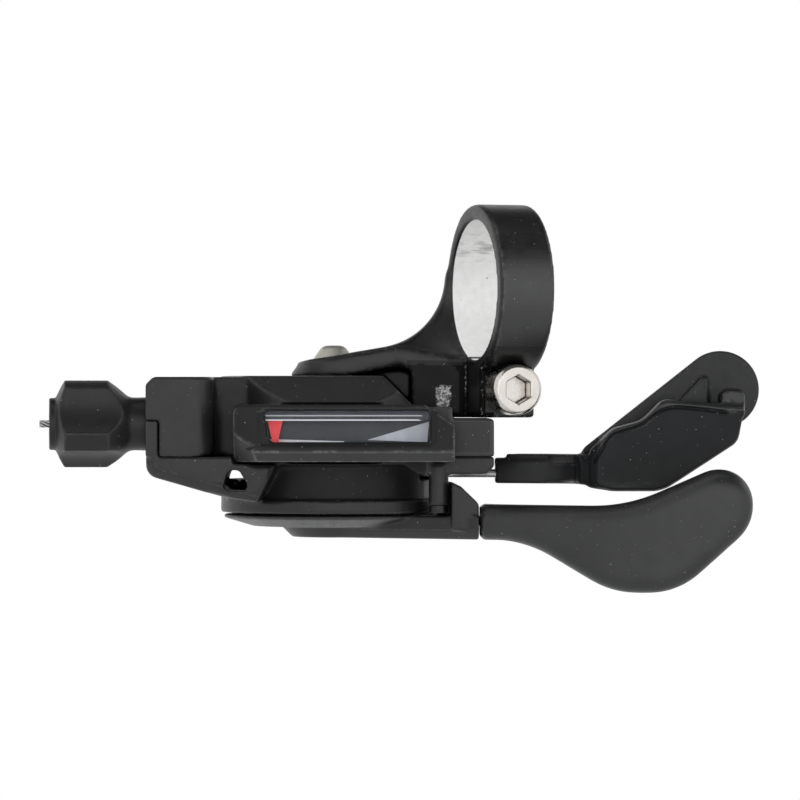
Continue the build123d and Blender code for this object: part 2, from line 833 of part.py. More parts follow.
def pawl(angle):
    """Pawl on a pin at the given angle, its nose held just clear of the wheel."""
    nose = polar(ratchet_radius + pawl_nose + free_gap, angle + pawl_swing)
    with BuildPart() as shape:
        with BuildSketch(level(pawl_bottom)):
            with BuildLine():
                CenterArc(polar(pawl_orbit, angle), pawl_hub, 0, 360)
                CenterArc(nose, pawl_nose, 0, 360)
            make_hull()
            with Locations(polar(pawl_orbit, angle)):
                Circle(pawl_pin_radius + running_fit, mode=Mode.SUBTRACT)
        extrude(amount=pawl_height)
    return shape.part


def pin(angle, z_low, z_high):
    """Pawl pin at the given angle."""
    with BuildPart() as rod:
        with BuildSketch(level(z_low)):
            with Locations(polar(pawl_orbit, angle)):
                Circle(pawl_pin_radius)
        extrude(amount=z_high - z_low)
    return rod.part


with BuildPart() as position_pawl:
    add(pawl(position_pawl_angle))
with BuildPart() as position_pawl_pin:
    add(pin(position_pawl_angle, pawl_bottom, parting_z))
with BuildPart() as position_pawl_spring:
    add(coil(position_point, ratchet_top + free_gap, pawl_pin_radius + running_fit, fine_wire, 3))
with BuildPart() as feed_pawl:
    add(pawl(feed_pawl_angle))
with BuildPart() as feed_pawl_pin:
    add(pin(feed_pawl_angle, lever_plate_bottom, ratchet_top))
with BuildPart() as feed_pawl_spring:
    add(coil(feed_point, lever_top + free_gap, pawl_pin_radius + running_fit, fine_wire, 5))

# Lower housing
web_run = block_left - porthole_left
web_mid = parting_z - web_left_drop - web_run * tan(radians(web_slope))
web_end = parting_z - web_end_drop
recess_low = housing_bottom + lip_height
post_y = lug_wall / 2 - display_back
post_bottom = parting_z - post_drop
lug_bottom = parting_z - lug_drop
porthole_top = parting_z - porthole_top_drop
porthole = [
    (-porthole_left, porthole_top - porthole_height),
    (-porthole_right, porthole_top - porthole_height),
    (-porthole_right - porthole_right_lean, porthole_top),
    (-porthole_left + porthole_left_lean, porthole_top),
]
web = [
    (-block_left, parting_z),
    (-block_left, parting_z - web_left_drop),
    (-porthole_left, web_mid),
    (-recess_left - recess_lean, web_end),
    (-recess_left, parting_z - recess_top),
    (-recess_left, parting_z),
]
screw_places = [
    ((post_x, post_y), post_bottom),
    ((-left_screw_x, -left_screw_y), parting_z - left_screw_grip),
]

with BuildPart() as lower_housing:
    with BuildSketch(level(housing_bottom)):
        Circle(cover_radius)
    extrude(amount=housing_height)
    with BuildSketch(facing(0)):
        with BuildLine():
            Polyline(
                (-recess_left, parting_z - recess_top),
                (-recess_left - recess_lean, recess_low),
                (cover_radius + free_gap, recess_low),
                (cover_radius + free_gap, parting_z - recess_top),
                close=True,
            )
        make_face()
    extrude(amount=cover_radius + free_gap, mode=Mode.SUBTRACT)
    with BuildSketch(level(housing_bottom)):
        Circle(recess_radius)
    extrude(amount=housing_height)
    with BuildSketch(facing(block_back)):
        with BuildLine():
            FilletPolyline(*web, radius=fitted(web, [0, web_corner, 0, 0, 0, 0]), close=True)
        make_face()
    extrude(amount=block_front - block_back)
    web_edges = lower_housing.edges().group_by(Axis.Y)[0].filter_by(GeomType.LINE)
    web_foot = web_edges.filter_by(Axis.X, reverse=True).sort_by(SortBy.LENGTH)[-1]
    chamfer(web_foot, length=web_bevel)
    with BuildSketch(level(parting_z)):
        with Locations((-block_left, -block_front)):
            Rectangle(
                riser_width - free_gap / 2, block_front - block_back, align=(Align.MIN, Align.MIN)
            )
    extrude(amount=riser_top - free_gap / 2 - parting_z)
    # shelf and skirt under the right end of the cover
    with BuildSketch(level(parting_z)):
        with Locations((0, -display_back)):
            Rectangle(right_end, display_back + right_back, align=(Align.MIN, Align.MIN))
        Circle(shelf_radius, mode=Mode.INTERSECT)
    extrude(amount=-base_thickness)
    with BuildSketch(facing(display_back - lug_wall)):
        with BuildLine():
            Polyline(
                (lug_left - lug_lead, parting_z),
                (lug_left - lug_lead, parting_z - recess_top),
                (lug_left, lug_bottom),
                (right_end - lug_cut, lug_bottom),
                (right_end, lug_bottom + lug_cut),
                (right_end, parting_z),
                close=True,
            )
        make_face()
    extrude(amount=lug_wall)
    with BuildSketch(level(post_bottom)):
        with Locations((post_x, post_y)):
            Circle(post_radius)
    extrude(amount=parting_z - post_bottom)
    # flat seat of the display
    with BuildSketch(facing(display_back)):
        with BuildLine():
            Polyline(*display_seat, close=True)
        make_face()
    extrude(amount=bezel_depth, mode=Mode.SUBTRACT)
    # inner room, seat of the base plate and the release lever's way out
    with BuildSketch(level(housing_bottom)):
        Circle(housing_inner)
    extrude(amount=housing_height, mode=Mode.SUBTRACT)
    with BuildSketch(level(base_bottom)):
        Circle(base_radius + press_fit)
    extrude(amount=base_thickness, mode=Mode.SUBTRACT)
    with BuildSketch(level(base_bottom)):
        with Locations((release_slot_left, -release_slot_front)):
            Rectangle(shelf_radius, release_slot_front + release_slot_back, align=(Align.MIN, Align.MIN))
    extrude(amount=release_bottom - lever_gap - base_bottom, mode=Mode.SUBTRACT)
    # porthole on the left, with a lower opening in the back wall
    with BuildSketch(facing(0)):
        with BuildLine():
            FilletPolyline(*porthole, radius=fitted(porthole, [porthole_corner] * 4), close=True)
        make_face()
    extrude(amount=block_front, mode=Mode.SUBTRACT)
    with BuildSketch(facing(0)):
        with Locations((-(porthole_left + porthole_right) / 2, porthole_top)):
            Rectangle(
                porthole_left - porthole_right, porthole_height / 2, align=(Align.CENTER, Align.MAX)
            )
    extrude(amount=-cover_radius, mode=Mode.SUBTRACT)
    # adjuster bore and screw holes
    with BuildSketch(adjuster_plane):
        Circle(adjuster_screw_radius + running_fit)
    extrude(amount=-adjuster_screw_reach, mode=Mode.SUBTRACT)
    with BuildSketch(adjuster_plane.offset(-neck_seat)):
        Circle(neck_radius + free_gap)
    extrude(amount=neck_length, mode=Mode.SUBTRACT)
    for place, seat in screw_places:
        with BuildSketch(level(parting_z)):
            with Locations(place):
                Circle(screw_radius + press_fit)
        extrude(amount=seat - parting_z, mode=Mode.SUBTRACT)
        with BuildSketch(level(seat)):
            with Locations(place):
                Circle(screw_head_radius + free_gap / 2)
        extrude(amount=housing_bottom - seat, mode=Mode.SUBTRACT)

with BuildPart() as housing_screws:
    for place, seat in screw_places:
        with BuildSketch(level(seat)):
            with Locations(place):
                Circle(screw_head_radius)
        extrude(amount=-screw_head_height)
        with BuildSketch(level(seat)):
            with Locations(place):
                Circle(screw_radius)
        extrude(amount=parting_z + screw_grip - free_gap - seat)

# Release lever: steel plate and its moulded pads
release_ring = release_hole + release_ring_wall


def lever_blank(ring_radius, reach, angle, width):
    """Plan of a flat lever: a ring about the axle and a straight arm with a round end."""
    with BuildSketch() as plan:
        Circle(ring_radius)
        with Locations(Rotation(0, 0, angle)):
            with Locations((reach / 2, 0)):
                Rectangle(reach, width)
    return plan.sketch


with BuildPart() as release_lever_plate:
    with BuildSketch(level(release_bottom)):
        add(lever_blank(release_ring, release_plate_reach, release_angle, release_plate_width))
        Circle(release_hole, mode=Mode.SUBTRACT)
    extrude(amount=release_thickness)

with BuildPart() as release_spring:
    add(coil((0, 0), base_bottom - fine_wire - running_fit, bush_outer + running_fit, fine_wire, 1))

# Front outlines of the release lever's pads, x from the axle and height
release_arm_top = parting_z + release_arm_rise
release_arm_bottom = parting_z - release_arm_drop
pad_crest = cable_z + pad_crest_above_cable
pad_floor = release_arm_bottom - pad_floor_drop
pad_step = pad_heel + 2 * pad_flare
pad_rim = [
    (arm_bend, release_arm_top),
    (pad_heel - pad_flare, release_arm_top),
    (pad_heel, pad_crest - pad_heel_drop),
    (pad_step - pad_step_drop, pad_crest - pad_step_drop),
    (pad_step, pad_crest),
    (release_reach, pad_crest - pad_tip_slant),
    (release_reach - pad_tip_slant, pad_crest - pad_tip_slant - pad_tip_height),
    (pad_step, pad_floor),
    (pad_heel, pad_floor),
    (arm_bend + 2 * pad_floor_drop, release_arm_bottom),
    (arm_bend, release_arm_bottom),
]
pad_rim_radii = [0, 2.5, 2.0, 3.0, 2.5, 1.6, 2.5, 6.0, 12.0, 6.0, 0]
channel_room = [
    (arm_bend, release_arm_top - channel_drop),
    (pad_heel, release_arm_top - channel_drop),
    (pad_step, release_arm_top),
    (release_reach, pad_crest - channel_tip_drop),
    (release_reach, pad_crest + bridge_rise),
    (arm_bend, pad_crest + bridge_rise),
]
gusset_right = release_reach - gusset_from_tip
gusset_outline = [
    (gusset_right - gusset_run, pad_crest - pad_tip_slant),
    (gusset_right - pad_tip_slant, pad_crest + gusset_rise),
    (gusset_right, pad_crest + gusset_rise),
    (gusset_right, pad_crest - pad_tip_slant),
]


def pad_plan(margin):
    """Front outline of the release lever's front pad, drawn in by a margin."""
    with BuildSketch() as plan:
        with BuildLine():
            FilletPolyline(*pad_rim, radius=fitted(pad_rim, pad_rim_radii), close=True)
        make_face()
        offset(amount=-margin, mode=Mode.REPLACE)
    return plan.sketch


arm_profile = [
    (arm_start, release_arm_top),
    (arm_end, release_arm_top),
    (arm_end, release_arm_bottom),
    (arm_start, release_arm_bottom),
]
channel_depth = release_front - release_back - front_pad_skin

with BuildPart() as release_arm:
    with BuildSketch(facing(0)):
        Polygon(*arm_profile, align=None)
    extrude(amount=release_front)
    with BuildSketch(level(release_arm_bottom)):
        Polygon(
            (arm_start, -arm_root_back),
            (arm_bend, -arm_root_back - arm_lean),
            (arm_end, -release_back),
            (arm_end, -release_front + front_pad_skin),
            (arm_bend, -arm_root_front - arm_lean),
            (arm_start, -arm_root_front),
            align=None,
        )
    extrude(amount=release_arm_top - release_arm_bottom, mode=Mode.INTERSECT)
    front_top = release_arm.edges().group_by(Axis.Z)[-1].filter_by(GeomType.LINE)
    chamfer(front_top.sort_by(Axis.Y)[0:2], length=arm_chamfer)

with BuildPart() as release_lever_pad:
    add(release_arm.part)
    # rim wall and raised skin of the front pad
    with BuildSketch(facing(release_front - front_pad_skin - front_pad_wall)):
        with BuildLine():
            FilletPolyline(*pad_rim, radius=fitted(pad_rim, pad_rim_radii), close=True)
        make_face()
    extrude(amount=front_pad_wall)
    with BuildSketch(facing(release_front - front_pad_skin)) as skin:
        add(pad_plan(skin_margin))
        with Locations((pad_heel - skin_start, pad_floor)):
            Rectangle(
                release_reach, pad_crest - pad_floor, align=(Align.MIN, Align.MIN), mode=Mode.INTERSECT
            )
        fillet(skin.vertices().group_by(Axis.X)[0], radius=front_pad_skin)
    extrude(amount=front_pad_skin)
    skin_rim = release_lever_pad.faces().sort_by(Axis.Y)[0].edges()
    chamfer(skin_rim, length=front_pad_skin / 3)
    # back pad
    with BuildSketch(facing(release_back)):
        with BuildLine():
            CenterArc((release_reach - back_tip_inset, pad_crest + back_tip_rise), back_tip_radius, 0, 360)
            CenterArc((arm_end, release_arm_top - pad_floor_drop / 2), back_root_radius, 0, 360)
        make_hull()
    extrude(amount=back_pad_wall)
    # floor of the channel, bridge at the tip and gusset
    with BuildSketch(facing(release_back)):
        add(pad_plan(skin_margin / 2))
        Polygon(*channel_room, align=None, mode=Mode.SUBTRACT)
    extrude(amount=channel_depth)
    with BuildSketch(facing(release_back)):
        with Locations((release_reach - bridge_width / 2, pad_crest + bridge_rise)):
            Rectangle(bridge_width, bridge_height, align=(Align.CENTER, Align.MAX))
        fillet(vertices().group_by(Axis.Y)[-1], radius=bridge_width / 4)
    extrude(amount=channel_depth)
    with BuildSketch(facing(release_back)):
        Polygon(*gusset_outline, align=None)
    extrude(amount=channel_depth / 2)
    # clear of the housing, and pocket for the steel plate
    with BuildSketch(level(release_arm_bottom)):
        Circle(release_start)
    extrude(amount=release_arm_top - release_arm_bottom, mode=Mode.SUBTRACT)
    with BuildSketch(level(release_arm_top)):
        Circle(release_rise_start)
    extrude(amount=parting_z - free_gap - release_arm_top, mode=Mode.SUBTRACT)
    with BuildSketch(level(release_bottom - press_fit)):
        add(
            lever_blank(
                release_ring,
                release_plate_reach + press_fit,
                release_angle,
                release_plate_width + 2 * press_fit,
            )
        )
    extrude(amount=release_thickness + 2 * press_fit, mode=Mode.SUBTRACT)

# Main lever: steel plate, hub cover with rib and ramp, thumb paddle
seam_y = seam_x * tan(radians(lever_angle))

with BuildPart() as main_lever_plate:
    with BuildSketch(level(lever_plate_bottom)):
        add(lever_blank(rib_radius, lever_plate_reach, lever_angle, lever_plate_width))
        Circle(shaft_hole, mode=Mode.SUBTRACT)
        with Locations(polar(pawl_orbit, feed_pawl_angle)):
            Circle(pawl_hub)
        with Locations(Rotation(0, 0, feed_pawl_angle)):
            with Locations((pawl_orbit / 2 + axle_radius, 0)):
                Rectangle(pawl_orbit - 2 * axle_radius, 2 * pawl_hub)
        with Locations(polar(pawl_orbit, feed_pawl_angle)):
            Circle(pawl_pin_radius + press_fit, mode=Mode.SUBTRACT)
    extrude(amount=lever_plate_thickness)

with BuildPart() as main_lever_spring:
    add(coil((0, 0), lever_top + running_fit, bush_inner, spring_wire, 1))

with BuildPart() as main_lever_cover:
    with BuildSketch(section()):
        Polygon(
            (0, lever_top),
            (disc_radius, lever_top),
            (disc_radius, lever_top - disc_edge),
            (disc_flat, lever_top - disc_height),
            (rib_radius + rib_height - disc_height, lever_top - disc_height),
            (rib_radius, rib_bottom),
            (0, rib_bottom),
            align=None,
        )
    revolve(axis=axle_axis)
    with BuildSketch(level(rib_bottom)):
        with BuildLine():
            CenterArc((0, 0), rib_radius, 0, 360)
            Line((seam_x, seam_y - rib_half_width), (seam_x, seam_y + rib_half_width))
        make_hull()
    extrude(amount=rib_height)
    rib_edges = main_lever_cover.edges().group_by(Axis.Z)[0].filter_by(GeomType.LINE)
    chamfer(rib_edges.filter_by(Axis.Y, reverse=True), length=rib_bevel)
    with BuildSketch(facing(ramp_back)):
        Polygon(
            (ramp_start, rib_bottom + rib_bevel),
            (ramp_start, lever_top + ramp_above_lever),
            (ramp_start + ramp_crown_run, lever_top + ramp_above_lever - ramp_crown_drop),
            (seam_x, lever_top + ramp_foot),
            (seam_x, rib_bottom + rib_bevel),
            align=None,
        )
    extrude(amount=ramp_front - ramp_back)
    with BuildSketch(facing(ramp_back)):
        Polygon(
            (ramp_toe, lever_top - disc_edge),
            (ramp_toe, lever_top),
            (ramp_toe + ramp_toe_lean, lever_top + ramp_above_lever),
            (ramp_start, lever_top + ramp_above_lever),
            (ramp_start, lever_top - disc_edge),
            align=None,
        )
    extrude(amount=ramp_toe_front - ramp_back)
    # pocket of the steel plate and recess of the nut
    with BuildSketch(level(lever_plate_bottom)):
        add(
            lever_blank(
                rib_radius + press_fit,
                lever_plate_reach,
                lever_angle,
                lever_plate_width + 2 * press_fit,
            )
        )
        with Locations(polar(pawl_orbit, feed_pawl_angle)):
            Circle(pawl_hub + press_fit)
        with Locations(Rotation(0, 0, feed_pawl_angle)):
            with Locations((pawl_orbit / 2, 0)):
                Rectangle(pawl_orbit, 2 * pawl_hub + 2 * press_fit)
    extrude(amount=lever_plate_thickness, mode=Mode.SUBTRACT)
    with BuildSketch(level(rib_bottom)):
        Circle(nut_flats / sqrt(3) + free_gap)
    extrude(amount=rib_height, mode=Mode.SUBTRACT)

# Front outline of the paddle, x from the axle and height
paddle_left = seam_x + seam_gap
paddle_end = paddle_reach + paddle_round
paddle_outline = [
    (paddle_left, lever_top + paddle_above_lever),
    (paddle_reach - paddle_throat, lever_top + paddle_above_lever),
    (paddle_reach, lever_top + paddle_tip_rise),
    (paddle_reach, lever_top - paddle_tip_fall),
    (paddle_reach - paddle_belly + paddle_belly_flat, rib_bottom - paddle_drop),
    (paddle_reach - paddle_belly, rib_bottom - paddle_drop),
    (paddle_left + paddle_neck, rib_bottom),
    (paddle_left, rib_bottom),
]
paddle_radii = [0, 25.0, 5.4, 7.0, 12.0, 14.0, 18.0, 0]
paddle_front = [
    (paddle_left, seam_y - rib_half_width),
    (paddle_mid, -paddle_mid_front),
    (paddle_end, -paddle_tip_front),
]
paddle_back = [
    (paddle_end, -paddle_tip_back),
    (paddle_mid, -paddle_mid_back),
    (paddle_left, seam_y + rib_half_width),
]

with BuildPart() as main_lever_pad:
    with BuildSketch(facing(0)):
        with BuildLine():
            FilletPolyline(*paddle_outline, radius=fitted(paddle_outline, paddle_radii), close=True)
        make_face()
    extrude(amount=paddle_tip_front + rib_half_width)
    with BuildSketch(level(rib_bottom - paddle_drop)):
        with BuildLine():
            front_curve = ThreePointArc(*paddle_front)
            Line(front_curve @ 1, paddle_back[0])
            back_curve = ThreePointArc(*paddle_back)
            Line(back_curve @ 1, front_curve @ 0)
        make_face()
    extrude(amount=paddle_drop + rib_height + paddle_tip_rise, mode=Mode.INTERSECT)
    seam_face = main_lever_pad.faces().sort_by(Axis.X)[0]
    rounded = main_lever_pad.edges() - seam_face.edges()
    chamfer(rounded, length=paddle_round)
    with BuildSketch(level(lever_plate_bottom - press_fit)):
        add(
            lever_blank(
                rib_radius,
                lever_plate_reach + press_fit,
                lever_angle,
                lever_plate_width + 2 * press_fit,
            )
        )
    extrude(amount=lever_plate_thickness + 2 * press_fit, mode=Mode.SUBTRACT)

# Barrel adjuster, its axis along the cable
flute_floor = knob_radius - knob_flute_depth
flute_reach = knob_radius * cos(radians(knob_flute_half_angle)) - flute_floor
flute_center = (knob_radius**2 - flute_floor**2) / (2 * flute_reach)
knob_end = neck_length + knob_length
adjuster_end = knob_end + collar_length
adjuster_section = Plane(adjuster_plane.origin, x_dir=adjuster_plane.x_dir, z_dir=adjuster_plane.y_dir)
adjuster_axis = Axis(adjuster_plane.origin, adjuster_plane.z_dir)

with BuildPart() as adjuster_knob:
    with BuildSketch(adjuster_section):
        Polygon(
            (0, neck_seat - free_gap),
            (neck_radius, neck_seat - free_gap),
            (neck_radius, -neck_length),
            (knob_radius, -neck_length - knob_inner_cone),
            (knob_radius, -knob_end + knob_outer_cone),
            (collar_radius, -knob_end),
            (collar_radius, -adjuster_end),
            (0, -adjuster_end),
            align=None,
        )
    revolve(axis=adjuster_axis)
    with BuildSketch(adjuster_plane.offset(neck_length)):
        with PolarLocations(flute_center, knob_flutes, start_angle=knob_phase):
            Circle(flute_center - flute_floor)
    extrude(amount=knob_length, mode=Mode.SUBTRACT)
    with BuildSketch(adjuster_plane.offset(-neck_seat)):
        Circle(adjuster_screw_radius + press_fit)
    extrude(amount=neck_seat + adjuster_end - socket_depth, mode=Mode.SUBTRACT)
    with BuildSketch(adjuster_plane.offset(adjuster_end)):
        Circle(socket_radius)
    extrude(amount=-socket_depth, mode=Mode.SUBTRACT)

with BuildPart() as adjuster_screw:
    with BuildSketch(adjuster_plane.offset(-adjuster_screw_reach)):
        Circle(adjuster_screw_radius)
        Circle(cable_radius + free_gap, mode=Mode.SUBTRACT)
    extrude(amount=adjuster_screw_reach + adjuster_end - socket_depth)

pieces = {
    "clamp_bracket": clamp_bracket,
    "clamp_bolt": clamp_bolt,
    "main_axle": main_axle,
    "axle_washer": axle_washer,
    "axle_nut": axle_nut,
    "upper_cover": upper_cover,
    "inner_hole_cap": inner_hole_cap,
    "display_bezel": display_bezel,
    "display_lens": display_lens,
    "scale_plate": scale_plate,
    "indicator_rail": indicator_rail,
    "indicator_carriage": indicator_carriage,
    "indicator_flag": indicator_flag,
    "winding_drum": winding_drum,
    "cable_head": cable_head,
    "drum_spring": drum_spring,
    "ratchet_wheel": ratchet_wheel,
    "inner_cable": inner_cable,
    "base_plate": base_plate,
    "pivot_bush": pivot_bush,
    "position_pawl": position_pawl,
    "position_pawl_pin": position_pawl_pin,
    "position_pawl_spring": position_pawl_spring,
    "feed_pawl": feed_pawl,
    "feed_pawl_pin": feed_pawl_pin,
    "feed_pawl_spring": feed_pawl_spring,
    "lower_housing": lower_housing,
    "housing_screws": housing_screws,
    "release_lever_plate": release_lever_plate,
    "release_spring": release_spring,
    "release_lever_pad": release_lever_pad,
    "main_lever_plate": main_lever_plate,
    "main_lever_spring": main_lever_spring,
    "main_lever_cover": main_lever_cover,
    "main_lever_pad": main_lever_pad,
    "adjuster_knob": adjuster_knob,
    "adjuster_screw": adjuster_screw,
}

os.makedirs("parts", exist_ok=True)
for name, piece in pieces.items():
    piece.part.label = name
    export_step(piece.part, f"parts/{name}.step")
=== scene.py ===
import json
import math

import bmesh
import bpy
import numpy as np
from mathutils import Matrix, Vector
from mathutils.bvhtree import BVHTree
from mathutils.kdtree import KDTree

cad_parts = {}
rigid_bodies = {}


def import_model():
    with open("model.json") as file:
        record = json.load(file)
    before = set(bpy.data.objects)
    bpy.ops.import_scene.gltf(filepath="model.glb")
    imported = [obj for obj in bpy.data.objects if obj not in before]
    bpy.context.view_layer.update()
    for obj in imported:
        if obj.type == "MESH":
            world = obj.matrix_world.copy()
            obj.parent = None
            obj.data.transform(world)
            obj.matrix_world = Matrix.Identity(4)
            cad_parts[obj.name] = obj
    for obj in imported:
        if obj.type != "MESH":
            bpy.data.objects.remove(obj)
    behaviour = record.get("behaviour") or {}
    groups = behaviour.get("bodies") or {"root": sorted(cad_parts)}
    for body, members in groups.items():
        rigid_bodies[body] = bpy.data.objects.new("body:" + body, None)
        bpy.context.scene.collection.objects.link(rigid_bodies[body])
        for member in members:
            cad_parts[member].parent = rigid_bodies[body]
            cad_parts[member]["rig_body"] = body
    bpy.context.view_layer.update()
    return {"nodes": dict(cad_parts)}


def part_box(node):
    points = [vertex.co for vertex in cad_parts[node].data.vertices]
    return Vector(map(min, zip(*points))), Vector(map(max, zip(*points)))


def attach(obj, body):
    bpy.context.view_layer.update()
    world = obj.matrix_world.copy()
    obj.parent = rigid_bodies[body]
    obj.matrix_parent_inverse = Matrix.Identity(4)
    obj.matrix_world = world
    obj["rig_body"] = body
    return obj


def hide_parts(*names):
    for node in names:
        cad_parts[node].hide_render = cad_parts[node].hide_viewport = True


# A trigger gear shifter: refined skins over the CAD nodes, prints, a stranded cable and a white studio.
# Places are x, y and z in mm, y away from the camera and z up, unless a comment names metres.
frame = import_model()
scene = bpy.context.scene
scene.view_settings.view_transform = "Standard"
MM = 0.001

# The clamp's bore goes through the origin
CLAMP_YAW = math.radians(18.5)
BORE_AXIS = Vector((math.cos(CLAMP_YAW), math.sin(CLAMP_YAW), 0.0))


# Materials
class Tree:
    """A material's node tree with short calls to add and link nodes; textures are laid out in mm."""

    def __init__(self, name):
        self.material = bpy.data.materials.new(name)
        self.material.use_nodes = True
        self.nodes = self.material.node_tree.nodes
        self.links = self.material.node_tree.links
        self.shader = self.nodes["Principled BSDF"]
        coords = self.nodes.new("ShaderNodeTexCoord")
        self.place = self.mapped(coords.outputs["Object"], (1000.0, 1000.0, 1000.0))

    def mapped(self, socket, scale, rotation=(0.0, 0.0, 0.0)):
        node = self.nodes.new("ShaderNodeMapping")
        node.inputs["Scale"].default_value = scale
        node.inputs["Rotation"].default_value = rotation
        self.links.new(socket, node.inputs["Vector"])
        return node.outputs["Vector"]

    def noise(self, scale, detail=3.0, roughness=0.55, vector=None):
        node = self.nodes.new("ShaderNodeTexNoise")
        node.inputs["Scale"].default_value = scale
        node.inputs["Detail"].default_value = detail
        node.inputs["Roughness"].default_value = roughness
        self.links.new(vector or self.place, node.inputs["Vector"])
        return node.outputs["Fac"]

    def ramp(self, socket, low, high, out_low=0.0, out_high=1.0):
        node = self.nodes.new("ShaderNodeMapRange")
        node.inputs["From Min"].default_value = low
        node.inputs["From Max"].default_value = high
        node.inputs["To Min"].default_value = out_low
        node.inputs["To Max"].default_value = out_high
        self.links.new(socket, node.inputs["Value"])
        return node.outputs["Result"]

    def math(self, kind, a, b):
        node = self.nodes.new("ShaderNodeMath")
        node.operation = kind
        for socket, value in zip(node.inputs, (a, b)):
            if isinstance(value, (int, float)):
                socket.default_value = value
            else:
                self.links.new(value, socket)
        return node.outputs["Value"]

    def times(self, a, b):
        return self.math("MULTIPLY", a, b)

    def band(self, socket, start, full, fade, end):
        """1 from full to fade, and 0 below start and above end."""
        return self.times(self.ramp(socket, start, full), self.ramp(socket, end, fade))

    def vector(self, kind, a, b=None):
        node = self.nodes.new("ShaderNodeVectorMath")
        node.operation = kind
        self.links.new(a, node.inputs[0])
        if b is not None:
            node.inputs[1].default_value = b
        return node.outputs["Value"]

    def mix(self, factor, a, b):
        node = self.nodes.new("ShaderNodeMix")
        node.data_type = "RGBA"
        self.links.new(factor, node.inputs["Factor"])
        for key, value in (("A_Color", a), ("B_Color", b)):
            socket = next(s for s in node.inputs if s.identifier == key)
            if isinstance(value, tuple):
                socket.default_value = (*value, 1.0)
            else:
                self.links.new(value, socket)
        return next(s for s in node.outputs if s.identifier == "Result_Color")

    def specks(self, scale, size, share):
        """Sparse round specks: 1 on a speck, 0 elsewhere."""
        node = self.nodes.new("ShaderNodeTexVoronoi")
        node.inputs["Scale"].default_value = scale
        self.links.new(self.place, node.inputs["Vector"])
        near = self.ramp(node.outputs["Distance"], size, size * 0.5)
        split = self.nodes.new("ShaderNodeSeparateColor")
        self.links.new(node.outputs["Color"], split.inputs["Color"])
        chosen = self.math("LESS_THAN", split.outputs["Red"], share)
        return self.times(near, chosen)

    def attribute(self, name):
        node = self.nodes.new("ShaderNodeAttribute")
        node.attribute_name = name
        return node.outputs["Fac"]

    def bump(self, height, strength, distance):
        node = self.nodes.new("ShaderNodeBump")
        node.inputs["Strength"].default_value = strength
        node.inputs["Distance"].default_value = distance
        self.links.new(height, node.inputs["Height"])
        self.links.new(node.outputs["Normal"], self.shader.inputs["Normal"])

    def set(self, **values):
        for key, value in values.items():
            socket = self.shader.inputs[key.replace("_", " ")]
            if isinstance(value, bpy.types.NodeSocket):
                self.links.new(value, socket)
            else:
                socket.default_value = value
        return self.material


SCRATCH_COLOUR = (0.2, 0.2, 0.2)
# Pale rim colour, partly wear and partly painted highlight
WORN_AND_LIT_PLASTIC = (0.2, 0.2, 0.195)
DUST_ON_PLASTIC = (0.42, 0.42, 0.4)
DUST_ON_PAINT = (0.45, 0.45, 0.43)
# Dark brown that is painted shade in the inner corners of bare metal
CORNER_SHADE_COLOUR = (0.07, 0.045, 0.03)


def moulded(name, tone, rough, dust, gloss=0.5, edge=0.4):
    """Black moulded plastic: satin with fine grain, dust, hairline scratches and paler edges.

    tone is a darker and a lighter colour, rough the span of the roughness, dust the share of the specks
    that show, and edge how far the rims turn pale, partly from rubbing and partly as painted highlight.
    """
    t = Tree(name)
    colour = t.mix(t.ramp(t.noise(0.16, detail=4.0), 0.35, 0.7), *tone)
    lay = t.mapped(t.place, (1.0, 1.0, 9.0), rotation=(0.35, 0.6, 0.4))
    hair = t.ramp(t.noise(0.45, detail=2.0, roughness=0.4, vector=lay), 0.735, 0.76)
    scratch = t.times(hair, t.ramp(t.noise(0.21, detail=2.0), 0.52, 0.64))
    colour = t.mix(t.times(scratch, 0.16), colour, SCRATCH_COLOUR)
    uneven = t.ramp(t.noise(0.8, detail=5.0, roughness=0.7), 0.46, 0.72, 0.25, 1.0)
    # Pale rims, partly wear and partly painted highlight
    worn_and_lit = t.times(t.attribute("wear_and_highlight"), uneven)
    colour = t.mix(t.times(worn_and_lit, edge), colour, WORN_AND_LIT_PLASTIC)
    fleck = t.math("MAXIMUM", t.specks(0.9, 0.1, dust), t.specks(1.9, 0.12, dust * 0.4))
    colour = t.mix(t.times(fleck, 0.45), colour, DUST_ON_PLASTIC)
    t.bump(t.noise(6.0, roughness=0.6), 0.1, 0.00005)
    roughness = t.ramp(t.noise(0.7, detail=4.0), 0.3, 0.75, *rough)
    return t.set(Base_Color=colour, Roughness=roughness, Specular_IOR_Level=gloss)


def metal(name, tone, rough, grain=(1.0, 1.0, 1.0), corner_shade=0.0):
    """Bare metal with a directional grain, slight stains, and painted shade darkening its inner corners."""
    t = Tree(name)
    lay = t.mapped(t.place, grain)
    stain = t.noise(0.5, detail=5.0, roughness=0.6, vector=lay)
    colour = t.mix(t.ramp(stain, 0.3, 0.7), *tone)
    # Painted shade: the inner corners turn dark brown
    if corner_shade:
        uneven = t.ramp(t.noise(1.1, detail=4.0), 0.3, 0.6, 0.5 * corner_shade, corner_shade)
        colour = t.mix(t.times(t.attribute("corner_shade"), uneven), colour, CORNER_SHADE_COLOUR)
    t.bump(t.noise(5.0, roughness=0.6, vector=lay), 0.2, 0.00001)
    roughness = t.ramp(t.noise(1.3, detail=4.0, roughness=0.6, vector=lay), 0.3, 0.7, *rough)
    return t.set(Base_Color=colour, Roughness=roughness, Metallic=1.0)


def cast_patch(t, x, z):
    """1 on the ragged patch of bare casting beside the pillar."""
    ragged = t.ramp(t.noise(1.1, roughness=0.7), 0.25, 0.75, -0.45, 0.45)
    across = t.band(t.math("ADD", x, ragged), -10.0, -9.7, -8.0, -7.7)
    height = t.band(t.math("ADD", z, ragged), -19.6, -19.2, -15.5, -15.1)
    return t.times(across, height)


